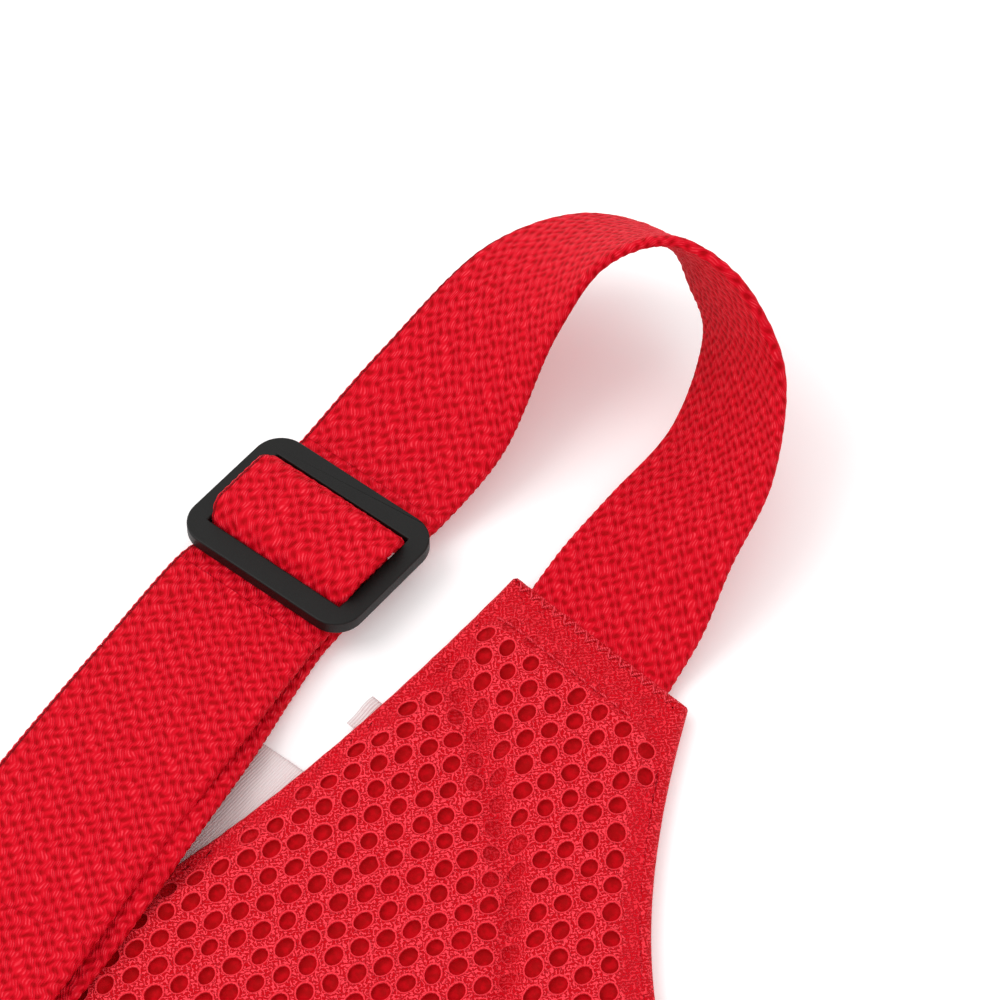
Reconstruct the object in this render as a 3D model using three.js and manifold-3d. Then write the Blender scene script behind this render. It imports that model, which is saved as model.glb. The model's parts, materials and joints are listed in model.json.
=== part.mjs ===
// Safety harness vest, laid on its back on a table: a padded back panel with its spacer-mesh
// lining up, a front panel folded down over it, two adjustable shoulder straps and a waist belt
// with a side-release buckle at each side. Millimetres, +Z up, +Y towards the wearer's head.
import * as THREE from 'three';
import { mergeVertices } from 'three/addons/utils/BufferGeometryUtils.js';
import Module from 'manifold-3d';

const wasm = await Module();
wasm.setup();

// ---------------------------------------------------------------- driving dimensions
const GAP = 0.3;                 // between sewn layers that touch

// Back panel outline, right half
const PANEL_HALF = 150;          // half width at the waist
const HEM_Y = -180;              // lower edge
const HEM_CORNER = 12;           // corner radius at the hem
const ARMPIT_Y = -15;            // where the armhole meets the side
const NECK_Y = 48;               // lowest point of the neckline
const TAB_X = 95;                // centre of a shoulder tab
const TAB_Y = 120;               // top edge of a shoulder tab, at its centre
const TAB_RAKE = 1.75;           // the tab's armhole corner stands this much higher

// Layers, from the table up
const SHELL = 0.8;               // woven outer fabric
const CORE = 2.2;                // padding, and the webbing ends sewn in beside it
const MESH = 3.2;                // spacer mesh
const FRONT_CORE = 2.8;          // padding of the front panel
const PAD_INSET = 6;             // seam allowance round the padding
const VALLEY_HALF = 1.2;         // half width of the quilted valley between two pads

// Webbing
const STRAP_WIDTH = 32;
const STRAP = 2.0;               // shoulder webbing thickness
const SEWN_IN = 12;              // length of webbing caught in a seam
const BELT_WIDTH = 32;
const BELT = 2.0;
const BELT_UP = 44;              // centre line of the waist belt, over the hem
const BELT_SLACK = 1.2;          // play of the belt in its quilted channel

const TAB_MARGIN = 4.3;          // of a shoulder tab, on each side of its strap
const TAB_HALF = STRAP_WIDTH / 2 + TAB_MARGIN;
const BELT_Y = HEM_Y + BELT_UP;

// Tri-glide adjuster
const GLIDE_LENGTH = 28;
const GLIDE = 2.8;
const GLIDE_BAR = 4.6;           // long bars
const GLIDE_END = 4.0;           // end bars
const GLIDE_SQUEEZE = 0.8;       // how much the slots are short of the webbing, on each side
const GLIDE_MIDDLE = 4.2;        // middle bar
const GLIDE_MIDDLE_HIGH = 1.4;   // thickness of the middle bar
const GLIDE_CORNER = 5.5;
const GLIDE_SLACK = 1.0;         // height to spare under it, over two layers of webbing
const GLIDE_AT = [-53, -16];     // centre, from the tab's top edge, left side
const GLIDE_WIDTH = STRAP_WIDTH + 2 * (GLIDE_END - GLIDE_SQUEEZE);
const GLIDE_LIFT = 2 * (STRAP + GAP) + GLIDE_SLACK;

// Rectangular ring
const RING_LENGTH = 18;
const RING = 3.4;
const RING_BAR = 3.6;
const RING_CORNER = 3;
const RING_PLAY = 0.9;           // between the webbing and the ring's ends
const RING_RISE = 0.2;           // of its middle, over the middle of the front padding
const RING_TURN = 17;            // degrees, how far the strap has turned inwards
const RING_AT = [-25, -163];     // centre, from the tab's top edge, left side
const RING_TAB = 1.2;            // tape thickness of the tab that holds it
const RING_TAB_SHORT = 4;        // how much narrower than the webbing that tape is
const RING_WIDTH = STRAP_WIDTH + 2 * (RING_PLAY + RING_BAR);
const RING_TAB_WIDTH = STRAP_WIDTH - RING_TAB_SHORT;
const WRAP_GAP = 0.35;           // between a bar's corners and the webbing round it

// The lower run of webbing climbs onto the back panel as it passes the armhole
const SELVAGE_CLEAR = 5.5;       // least gap from the selvage to the armhole while it still climbs
const RISE_LEFT = 3.5;           // height that is left to climb at that point

// Tether ring and its tape
const TETHER_BAR = 2.6;
const TETHER_REACH = 14;         // from the bar's centre to the middle of the bow
const TETHER_OUT = 13;           // from the neckline to the bar's centre
const TETHER_RISE = 0.05;        // of the bar's centre, over the padding
const TETHER_PLAY = 0.7;         // between the tape and each end of the bar
const TETHER_TAPE = 1.0;
const TETHER_TAPE_WIDTH = 19.6;
const TETHER_INNER = TETHER_TAPE_WIDTH + 2 * TETHER_PLAY;

// Front panel, right half
const FRONT_SHORT = 9;           // of the front panel at each side seam
const FRONT_UP = 4;              // of its hem, over the back panel's
const FRONT_SCOOP_Y = -84;       // lowest point of the front neckline
const FRONT_TAB_REACH = 8;       // from the ring's bar to the panel edge
const FRONT_TAB_MARGIN = 5;      // of the front shoulder corner, on each side of that tape
const FRONT_HALF = PANEL_HALF - FRONT_SHORT;
const FRONT_HEM_Y = HEM_Y + FRONT_UP;

// Side-release buckle; p runs into the housing, q across it
const BUCKLE_CHEEK = 4;          // from the edge of the belt to the buckle's edge
const BUCKLE_PLATE = 2.3;        // thickness of the housing's plates
const PLUG_HALF_HIGH = 2.3;
const PLUG_PLAY = 0.4;           // between the plug and each plate
const PLUG_IN = 2;               // from the side seam to the plug's outer end
const PLUG_BAR = 4;
const PLUG_ROOT = 17;            // where the plug's cross piece ends
const MOUTH = 19;                // mouth of the housing, from the plug's outer end
const HOUSING_LENGTH = 37;
const TONGUE_END = 38;
const TONGUE_HALF = 3.2;
const RAIL = [4.0, 6.0];         // q of the guide rails inside the housing
const ARM_Q = 13;                // line of a latch arm
const ARM_HALF = 2.2;
const ARM_END = 37;
const SLOT_LENGTH = 5;           // webbing slots of plug and housing
const SLOT_PLAY = 1;             // between the belt and each end of its slot
const BUCKLE_HALF = BELT_WIDTH / 2 + BUCKLE_CHEEK;
const POCKET_HALF_HIGH = PLUG_HALF_HIGH + PLUG_PLAY;
const BUCKLE_HALF_HIGH = POCKET_HALF_HIGH + BUCKLE_PLATE;
const PLUG_START = PLUG_IN - PANEL_HALF;
const SLOT_HALF = BELT_WIDTH / 2 + SLOT_PLAY;

// Labels: lower and upper edge under the tab's top edge, and reach past the armhole
const CARE_LABEL = { low: 82, high: 52, reach: 34 };
const SIZE_LABEL = { low: 40, high: 33, reach: 3 };
const LABEL_CAUGHT = 3;          // in the armhole seam
const LABEL = 0.4;

// ---------------------------------------------------------------- looks
const look = (color, roughness, metalness = 0) =>
  new THREE.MeshStandardMaterial({ color, roughness, metalness });

const webbingRed = look('#c8102a', 0.85);
const meshRed = look('#d81830', 0.8);
const shellRed = look('#b80e24', 0.75);
const foam = look('#e9e4da', 0.95);
const blackPlastic = look('#242322', 0.5);
const steel = look('#b9bbbd', 0.3, 1);
const satin = look('#f1ece8', 0.45);

// ---------------------------------------------------------------- helpers
const vest = new THREE.Group();
const flat = (x, y) => new THREE.Vector2(x, y);
const space = (x, y, z) => new THREE.Vector3(x, y, z);

function node(name, geometry, material) {
  const mesh = new THREE.Mesh(geometry, material);
  mesh.name = name;
  vest.add(mesh);
}

// The same geometry on the other side of the vest, with its faces still pointing out.
function mirrored(geometry) {
  const copy = geometry.index ? geometry.toNonIndexed() : geometry.clone();
  const place = copy.getAttribute('position');
  for (let i = 0; i < place.count; i += 3) {
    const corners = [0, 2, 1].map((k) => space(-place.getX(i + k), place.getY(i + k), place.getZ(i + k)));
    corners.forEach((corner, k) => place.setXYZ(i + k, corner.x, corner.y, corner.z));
  }
  return copy;
}

// A node for the left side and its mirror image for the right.
function pair(name, geometry, material) {
  node(`${name}_left`, geometry, material);
  node(`${name}_right`, mirrored(geometry), material);
}

function slab(points, low, high) {
  const geometry = new THREE.ExtrudeGeometry(new THREE.Shape(points), {
    depth: high - low,
    bevelEnabled: false,
  });
  geometry.translate(0, 0, low);
  return geometry;
}

function block(x, y, z) {
  const geometry = new THREE.BoxGeometry(x[1] - x[0], y[1] - y[0], z[1] - z[0]);
  geometry.translate((x[0] + x[1]) / 2, (y[0] + y[1]) / 2, (z[0] + z[1]) / 2);
  return geometry;
}

function toSolid(geometry) {
  const bare = geometry.clone();
  bare.deleteAttribute('normal');
  bare.deleteAttribute('uv');
  const merged = mergeVertices(bare, 1e-4);
  return new wasm.Manifold(new wasm.Mesh({
    numProp: 3,
    vertProperties: new Float32Array(merged.getAttribute('position').array),
    triVerts: new Uint32Array(merged.getIndex().array),
  }));
}

function fromSolid(solid) {
  const mesh = solid.getMesh();
  const geometry = new THREE.BufferGeometry();
  geometry.setAttribute('position', new THREE.BufferAttribute(new Float32Array(mesh.vertProperties), 3));
  geometry.setIndex(new THREE.BufferAttribute(new Uint32Array(mesh.triVerts), 1));
  return geometry;
}

const cut = (from, ...tools) =>
  fromSolid(tools.reduce((solid, tool) => solid.subtract(toSolid(tool)), toSolid(from)));
const join = (first, ...others) =>
  fromSolid(others.reduce((solid, other) => solid.add(toSolid(other)), toSolid(first)));
const common = (first, second) => fromSolid(toSolid(first).intersect(toSolid(second)));

// Right half outline, from the centre line round to the centre line, with its mirror image.
function bothHalves(half) {
  const left = half
    .slice()
    .reverse()
    .filter((point) => point.x > 0)
    .map((point) => flat(-point.x, point.y));
  return [...half, ...left];
}

// An outline moved inwards by a distance, for smooth outlines without narrow necks.
function inset(points, distance) {
  const turn = THREE.ShapeUtils.isClockWise(points) ? -1 : 1;
  return points.map((point, i) => {
    const before = points[(i + points.length - 1) % points.length];
    const after = points[(i + 1) % points.length];
    const edgeIn = point.clone().sub(before).normalize();
    const edgeOut = after.clone().sub(point).normalize();
    const normalIn = flat(-edgeIn.y, edgeIn.x);
    const normalOut = flat(-edgeOut.y, edgeOut.x);
    const sum = normalIn.clone().add(normalOut);
    const miter = sum.multiplyScalar((turn * distance) / Math.max(0.5, 1 + normalIn.dot(normalOut)));
    return point.clone().add(miter);
  });
}

function roundedBox(width, length, radius) {
  const shape = new THREE.Shape();
  const x = width / 2;
  const y = length / 2;
  shape.absarc(x - radius, y - radius, radius, 0, Math.PI / 2);
  shape.absarc(radius - x, y - radius, radius, Math.PI / 2, Math.PI);
  shape.absarc(radius - x, radius - y, radius, Math.PI, Math.PI * 1.5);
  shape.absarc(x - radius, radius - y, radius, Math.PI * 1.5, Math.PI * 2);
  return shape;
}

// A band of tape: its side view is a smooth line of points (run, height), its width is level.
// It starts at a point, runs in a level direction, and is centred on that line.
function band(points, thickness, width, start, direction, steps = 4) {
  const curve = new THREE.CatmullRomCurve3(points.map(([run, high]) => space(run, high, 0)), false, 'centripetal');
  const count = (points.length - 1) * steps;
  const upper = [];
  const lower = [];
  for (let i = 0; i <= count; i += 1) {
    const at = curve.getPoint(i / count);
    const along = curve.getTangent(i / count);
    const side = flat(-along.y, along.x).multiplyScalar(thickness / 2);
    upper.push(flat(at.x, at.y).add(side));
    lower.unshift(flat(at.x, at.y).sub(side));
  }
  const geometry = new THREE.ExtrudeGeometry(new THREE.Shape([...upper, ...lower]), {
    depth: width,
    bevelEnabled: false,
  });
  geometry.translate(0, 0, -width / 2);
  const run = space(direction[0], direction[1], 0).normalize();
  const up = space(0, 0, 1);
  const across = run.clone().cross(up);
  const place = new THREE.Matrix4().makeBasis(run, up, across).setPosition(space(start[0], start[1], 0));
  geometry.applyMatrix4(place);
  return geometry;
}

// A ribbon between two selvages given as matching stations, with a thickness.
function ribbon(stations, thickness, steps) {
  const line = (key) => new THREE.CatmullRomCurve3(stations.map((station) => station[key]), false, 'centripetal');
  const count = (stations.length - 1) * steps;
  const edge = (curve) => Array.from({ length: count + 1 }, (_, i) => curve.getPoint(i / count));
  const first = edge(line('outer'));
  const second = edge(line('inner'));
  const places = [];
  for (let i = 0; i <= count; i += 1) {
    const a = Math.max(0, i - 1);
    const b = Math.min(count, i + 1);
    const across = second[i].clone().sub(first[i]);
    const along = first[b].clone().add(second[b]).sub(first[a]).sub(second[a]);
    const normal = across.cross(along).normalize().multiplyScalar(thickness / 2);
    places.push(first[i].clone().add(normal), second[i].clone().add(normal));
    places.push(second[i].clone().sub(normal), first[i].clone().sub(normal));
  }
  const faces = [0, 2, 1, 0, 3, 2];
  for (let i = 0; i < count; i += 1) {
    for (let side = 0; side < 4; side += 1) {
      const a = i * 4 + side;
      const b = i * 4 + ((side + 1) % 4);
      faces.push(a, b, a + 4, b, b + 4, a + 4);
    }
  }
  const last = count * 4;
  faces.push(last, last + 1, last + 2, last, last + 2, last + 3);
  const geometry = new THREE.BufferGeometry();
  geometry.setFromPoints(places);
  geometry.setIndex(faces);
  return geometry;
}

// ---------------------------------------------------------------- back panel
const tabInner = flat(TAB_X - TAB_HALF, TAB_Y - TAB_RAKE);
const tabOuter = flat(TAB_X + TAB_HALF, TAB_Y + TAB_RAKE);
const neckline = new THREE.CubicBezierCurve(
  flat(0, NECK_Y),
  flat(TAB_X * 0.42, NECK_Y),
  flat(tabInner.x - 14.5, tabInner.y - 26),
  tabInner,
);
const armhole = new THREE.CubicBezierCurve(
  tabOuter,
  flat(tabOuter.x + 4, tabOuter.y - 46),
  flat(tabOuter.x + 6, ARMPIT_Y + 25),
  flat(PANEL_HALF, ARMPIT_Y),
);
const hemCorner = new THREE.EllipseCurve(
  PANEL_HALF - HEM_CORNER, HEM_Y + HEM_CORNER, HEM_CORNER, HEM_CORNER, 0, -Math.PI / 2, true,
);
const backOutline = bothHalves([
  ...neckline.getPoints(14),
  ...armhole.getPoints(12),
  ...hemCorner.getPoints(4),
  flat(0, HEM_Y),
]);

const coreLow = SHELL + GAP;
const coreHigh = coreLow + CORE;
const meshLow = coreHigh + GAP;
const meshHigh = meshLow + MESH;
const coreMiddle = (coreLow + coreHigh) / 2;

// The front panel's layers lie on the back panel's.
const frontMeshLow = meshHigh + GAP;
const frontCoreLow = frontMeshLow + MESH + GAP;
const frontCoreHigh = frontCoreLow + FRONT_CORE;
const frontShellLow = frontCoreHigh + GAP;
const frontTop = frontShellLow + SHELL;
const ringLift = (frontCoreLow + frontCoreHigh) / 2 + RING_RISE;

node('back_outer_shell', slab(backOutline, 0, SHELL), shellRed);
node('back_inner_mesh', slab(backOutline, meshLow, meshHigh), meshRed);

// The quilted valley that follows the neckline divides the neck pad from the upper back pad.
const valleyHalf = [
  flat(0, NECK_Y - 33),
  flat(TAB_X - 55, NECK_Y - 18),
  flat(TAB_X - 35, NECK_Y + 2),
  flat(TAB_X - 22, TAB_Y - 52.5),
  flat(TAB_X - 9, TAB_Y - 40),
  flat(TAB_X + 5, TAB_Y - 29),
  flat(TAB_X + 40, TAB_Y - 7),
];
const FAR = 400;
function aboveValley(shift) {
  const line = bothHalves(valleyHalf.map((point) => flat(point.x, point.y + shift)));
  const rightEnd = valleyHalf.length - 1;
  return slab([
    ...line.slice(0, rightEnd + 1),
    flat(FAR, FAR),
    flat(-FAR, FAR),
    ...line.slice(rightEnd + 1),
  ], coreLow - 1, coreHigh + 1);
}
const padBlank = slab(inset(backOutline, PAD_INSET), coreLow, coreHigh);
const strip = (lowY, highY) => block([-FAR, FAR], [lowY, highY], [coreLow - 1, coreHigh + 1]);
const tabSeamY = TAB_Y - SEWN_IN - 4;
const tapeHalf = TETHER_TAPE_WIDTH / 2 + 1;
const channel = BELT_WIDTH / 2 + BELT_SLACK;

node('back_neck_pad', cut(
  common(padBlank, aboveValley(VALLEY_HALF)),
  strip(tabSeamY, FAR),
  block([-tapeHalf, tapeHalf], [NECK_Y - SEWN_IN - 1, NECK_Y], [0, coreHigh + 1]),
), foam);
node('back_upper_pad', cut(
  common(padBlank, strip(BELT_Y + channel + VALLEY_HALF, FAR)),
  aboveValley(-VALLEY_HALF),
), foam);
node('back_lower_pad', common(padBlank, strip(-FAR, BELT_Y - channel - VALLEY_HALF)), foam);

const backBeltEnd = PANEL_HALF - SEWN_IN - 2;
node('back_belt', block(
  [-backBeltEnd, backBeltEnd],
  [BELT_Y - BELT_WIDTH / 2, BELT_Y + BELT_WIDTH / 2],
  [coreMiddle - BELT / 2, coreMiddle + BELT / 2],
), webbingRed);

const armholeX = (y) => armhole.getPoints(200)
  .reduce((a, b) => (Math.abs(b.y - y) < Math.abs(a.y - y) ? b : a)).x;

// Two blank satin labels sewn into the left armhole seam.
function labelSlab({ low, high, reach }) {
  const [lowY, highY] = [TAB_Y - low, TAB_Y - high];
  return slab([
    flat(-armholeX(lowY) - reach, lowY),
    flat(-armholeX(lowY) + LABEL_CAUGHT, lowY),
    flat(-armholeX(highY) + LABEL_CAUGHT, highY),
    flat(-armholeX(highY) - reach, highY),
  ], coreLow, coreLow + LABEL);
}
node('care_label', labelSlab(CARE_LABEL), satin);
node('size_label', labelSlab(SIZE_LABEL), satin);

// ---------------------------------------------------------------- shoulder straps
const glide = { x: GLIDE_AT[0], y: GLIDE_AT[1] };
const turn = THREE.MathUtils.degToRad(RING_TURN);
const ringAlong = flat(Math.sin(turn), -Math.cos(turn));
const ringReach = (RING_LENGTH - RING_BAR) / 2;
const farBar = flat(...RING_AT).addScaledVector(ringAlong, -ringReach);
const nearBar = flat(...RING_AT).addScaledVector(ringAlong, ringReach);

// Stations where both selvages of 32 mm webbing are placed by hand: [outer selvage],
// [inner selvage], from the tab's top edge. The webbing leaves the tab, stands up on its outer
// selvage as it turns over, and comes down flat before the tri-glide.
const half = STRAP_WIDTH / 2;
const PLACED_HALF = 16;
const sewnStations = [
  [[-half, -SEWN_IN, coreMiddle], [half, -SEWN_IN, coreMiddle]],
  [[-half, -4, coreMiddle], [half, -4, coreMiddle]],
  [[-half, 2, coreMiddle], [half, 1, coreMiddle]],
].map(([outer, inner]) => ({ outer: space(...outer), inner: space(...inner) }));
const loopStations = [
  [[-17, 13, 2.6], [14.6, 10.5, 6]],
  [[-17.6, 26, 3], [12, 21, 13]],
  [[-19, 44, 5], [9, 36.5, 18.5]],
  [[-25, 60, 8], [1, 51.5, 24]],
  [[-27, 63, 12], [-3.5, 54, 31.5]],
  [[-31.5, 64, 16], [-14, 55, 41.5]],
  [[-37.5, 68, 18], [-25.5, 52.5, 43.5]],
  [[-54.5, 65.5, 15], [-36, 47, 34]],
  [[-66, 54, 10], [-41, 38, 22]],
  [[-69, 25, 5], [-37.5, 18, 10]],
].map(([outer, inner]) => {
  const middle = space(...outer).lerp(space(...inner), 0.5);
  const side = space(...inner).sub(space(...outer)).multiplyScalar(half / (2 * PLACED_HALF));
  return { outer: middle.clone().sub(side), inner: middle.clone().add(side) };
});

// Stations given by the webbing's centre, its turn inwards in degrees and its half width.
function level(x, y, z, degrees, halfWidth) {
  const angle = THREE.MathUtils.degToRad(degrees);
  const side = space(Math.cos(angle), Math.sin(angle), 0).multiplyScalar(halfWidth);
  return { outer: space(x, y, z).sub(side), inner: space(x, y, z).add(side) };
}

const barEdge = GLIDE_LENGTH / 2 - GLIDE_BAR;      // inner edge of a long bar, from the middle
const slim = GLIDE_WIDTH / 2 - GLIDE_END - 0.4;    // half width inside the slots
const onTable = STRAP / 2 + GAP;
const onMesh = meshHigh + GAP + STRAP / 2;
const underBar = GLIDE_LIFT - GAP - STRAP / 2;
const wrapTop = GLIDE_LIFT + GLIDE_MIDDLE_HIGH + GAP + STRAP / 2;
const overTop = wrapTop + STRAP + GAP;
const wrapReach = GLIDE_MIDDLE / 2 + GAP + STRAP / 2 + 0.2;
const throughGlide = [
  [GLIDE_LENGTH / 2 + 4, underBar + 0.1, half],
  [GLIDE_LENGTH / 2 - 1, underBar, half - 0.3],
  [barEdge + 0.6, underBar, slim],
  [barEdge - 1.4, underBar + 0.4, slim],
  [barEdge - 2.5, underBar + 1.9, slim],
  [wrapReach + 1.5, overTop - 1, slim],
  [2.4, overTop, slim],
  [-2.4, overTop, slim],
  [-wrapReach - 1.5, overTop - 1, slim],
  [-barEdge + 2.5, underBar + 1.9, slim],
  [-barEdge + 1.4, underBar + 0.4, slim],
  [-barEdge - 0.6, underBar, slim],
  [1 - GLIDE_LENGTH / 2, underBar, half - 0.3],
  [-GLIDE_LENGTH / 2 - 3, underBar + 0.2, half],
].map(([y, z, halfWidth]) => level(glide.x, glide.y + y, z, 0, halfWidth));

const ringSlim = half - 0.5;
const ringWrap = Math.hypot(RING_BAR, RING) / 2 + WRAP_GAP + STRAP / 2;
function roundFarBar(run, high) {
  const at = farBar.clone().addScaledVector(ringAlong, run);
  return level(at.x, at.y, ringLift + high, RING_TURN, ringSlim);
}

// Where the webbing's inner selvage passes close to the armhole, it is up on the mesh already.
const passing = level(-48.5, -58, 0, 5, half).inner;
const passingGap = TAB_X - passing.x - armholeX(TAB_Y + passing.y);
const early = passingGap < SELVAGE_CLEAR ? RISE_LEFT : 0;
const topRun = [
  level(-51, -55, underBar + 3.0 + early, 5, half),
  level(-46.5, -85, onMesh + STRAP + 0.9, 9, half),
  level(-41.5, -108, onMesh + STRAP + 2.7, 12, half),
  level(-35.5, -130, ringLift + 2.2, 15, half),
];
const diagonal = ringWrap * Math.SQRT1_2;
const wrapRing = [
  roundFarBar(-8, ringWrap - 0.3),
  roundFarBar(-1, ringWrap),
  roundFarBar(diagonal, diagonal),
  roundFarBar(ringWrap, 0),
  roundFarBar(diagonal, -diagonal),
  roundFarBar(-1, -ringWrap),
  roundFarBar(-9, -ringWrap),
];
const returnRun = [
  level(-35.5, -130, onMesh + 0.1, 15, half),
  level(-40, -108, onMesh + 0.1, 12, half),
  level(-44.6, -80, onMesh, 9, half),
  level(-48.5, -58, onMesh - RISE_LEFT + early, 5, half),
  level(-51.5, -42, onTable + 0.7, 2, half),
];
const wrapMiddle = [
  [-GLIDE_LENGTH / 2 - 1, onTable, half],
  [-barEdge - 0.5, onTable + 0.1, half - 0.3],
  [-wrapReach - 1.4, onTable + 1.0, slim],
  [-GLIDE_MIDDLE / 2, underBar - 0.2, slim],
  [1.0, underBar, slim],
  [wrapReach - 0.8, underBar + 0.25, slim],
  [wrapReach, underBar + 1.2, slim],
  [wrapReach, wrapTop - 1.2, slim],
  [wrapReach - 0.8, wrapTop - 0.25, slim],
  [1.0, wrapTop, slim],
  [-GLIDE_MIDDLE / 2, wrapTop, slim],
].map(([y, z, halfWidth]) => level(glide.x, glide.y + y, z, 0, halfWidth));

const strap = ribbon([
  ...sewnStations, ...loopStations, ...throughGlide, ...topRun, ...wrapRing, ...returnRun, ...wrapMiddle,
], STRAP, 3);
strap.translate(-TAB_X, TAB_Y, 0);
pair('shoulder_strap', strap, webbingRed);

// Tri-glide: a flat frame with a thin middle bar at its underside.
const glideBlank = roundedBox(GLIDE_WIDTH, GLIDE_LENGTH, GLIDE_CORNER);
const slotHalf = GLIDE_WIDTH / 2 - GLIDE_END;
for (const side of [-1, 1]) {
  const inner = side * (GLIDE_MIDDLE / 2);
  const outer = side * barEdge;
  glideBlank.holes.push(new THREE.Path([
    flat(-slotHalf, inner), flat(slotHalf, inner), flat(slotHalf, outer), flat(-slotHalf, outer),
  ]));
}
const glideFrame = new THREE.ExtrudeGeometry(glideBlank, {
  depth: GLIDE, bevelEnabled: false, curveSegments: 5,
});
const triGlide = cut(glideFrame, block(
  [-slotHalf, slotHalf], [-barEdge, barEdge], [GLIDE_MIDDLE_HIGH, GLIDE + 1],
));
triGlide.translate(glide.x - TAB_X, glide.y + TAB_Y, GLIDE_LIFT);
pair('tri_glide', triGlide, blackPlastic);

// Rectangular ring at the front panel's shoulder corner.
const ringShape = roundedBox(RING_WIDTH, RING_LENGTH, RING_CORNER);
ringShape.holes.push(new THREE.Path(
  roundedBox(RING_WIDTH - 2 * RING_BAR, RING_LENGTH - 2 * RING_BAR, 0.8).getPoints(3).reverse(),
));
const ring = new THREE.ExtrudeGeometry(ringShape, { depth: RING, bevelEnabled: false, curveSegments: 4 });
ring.translate(0, 0, -RING / 2);
ring.rotateZ(turn);
ring.translate(RING_AT[0] - TAB_X, RING_AT[1] + TAB_Y, ringLift);
pair('strap_ring', ring, blackPlastic);

// ---------------------------------------------------------------- front panel
const tabFoot = nearBar.clone().addScaledVector(ringAlong, FRONT_TAB_REACH);
const mirrorTab = flat(TAB_X - tabFoot.x, TAB_Y + tabFoot.y);
const shoulderSide = flat(Math.cos(turn), -Math.sin(turn))
  .multiplyScalar(RING_TAB_WIDTH / 2 + FRONT_TAB_MARGIN);
const shoulderOuter = mirrorTab.clone().add(shoulderSide);
const shoulderInner = mirrorTab.clone().sub(shoulderSide);
const frontNeck = new THREE.CubicBezierCurve(
  flat(0, FRONT_SCOOP_Y),
  flat(40, FRONT_SCOOP_Y),
  flat(shoulderInner.x - 30, shoulderInner.y - 6),
  shoulderInner,
);
const frontArm = new THREE.QuadraticBezierCurve(
  shoulderOuter,
  flat(shoulderOuter.x + 1, shoulderOuter.y - 26),
  flat(FRONT_HALF, shoulderOuter.y - 36),
);
const frontCorner = new THREE.EllipseCurve(
  FRONT_HALF - HEM_CORNER, FRONT_HEM_Y + HEM_CORNER, HEM_CORNER, HEM_CORNER, 0, -Math.PI / 2, true,
);
const frontOutline = bothHalves([
  ...frontNeck.getPoints(10),
  ...frontArm.getPoints(6),
  ...frontCorner.getPoints(4),
  flat(0, FRONT_HEM_Y),
]);

const ringTabPoints = (() => {
  const wrap = Math.hypot(RING_BAR, RING) / 2 + WRAP_GAP + RING_TAB / 2;
  const corner = wrap * Math.SQRT1_2;
  const lower = frontCoreLow + RING_TAB / 2;
  const upper = frontCoreHigh - RING_TAB / 2;
  const end = FRONT_TAB_REACH + SEWN_IN;
  return [
    [end, upper], [FRONT_TAB_REACH, upper], [FRONT_TAB_REACH - 3, upper + 0.5],
    [1.4, ringLift + wrap], [-corner, ringLift + corner], [-wrap, ringLift],
    [-corner, ringLift - corner], [1.4, ringLift - wrap],
    [FRONT_TAB_REACH - 3, lower - 0.5], [FRONT_TAB_REACH, lower], [end, lower],
  ];
})();
const nearBarAt = [nearBar.x - TAB_X, nearBar.y + TAB_Y];
const ringTab = band(ringTabPoints, RING_TAB, RING_TAB_WIDTH, nearBarAt, [ringAlong.x, ringAlong.y], 3);
pair('ring_tab', ringTab, webbingRed);

const tabPocket = block(
  [-RING_TAB_WIDTH / 2 - 1, RING_TAB_WIDTH / 2 + 1],
  [-FRONT_TAB_REACH - SEWN_IN - 1, 0],
  [frontCoreLow - 1, frontCoreHigh + 1],
);
tabPocket.rotateZ(turn);
tabPocket.translate(nearBarAt[0], nearBarAt[1], 0);

node('front_inner_mesh', slab(frontOutline, frontMeshLow, frontMeshLow + MESH), meshRed);
node('front_pad', cut(
  slab(inset(frontOutline, PAD_INSET), frontCoreLow, frontCoreHigh),
  tabPocket,
  mirrored(tabPocket),
), foam);
node('front_outer_shell', slab(frontOutline, frontShellLow, frontTop), shellRed);

// ---------------------------------------------------------------- waist belt and buckles
// A belt lies on the front shell and passes under the bars it is looped round.
const frontBeltLow = frontTop + GAP + BELT / 2;
const barWrap = Math.hypot(PLUG_BAR, 2 * PLUG_HALF_HIGH) / 2 + WRAP_GAP + BELT / 2;
const buckleHeight = frontBeltLow + barWrap;
const inBuckle = (geometry) => {
  geometry.translate(PLUG_START, BELT_Y, buckleHeight);
  return geometry;
};
const housingEnd = MOUTH + HOUSING_LENGTH;
const housingBar = housingEnd - PLUG_BAR;
const housingSlot = housingBar - SLOT_LENGTH;
const pocketEnd = housingSlot - 3;

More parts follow.
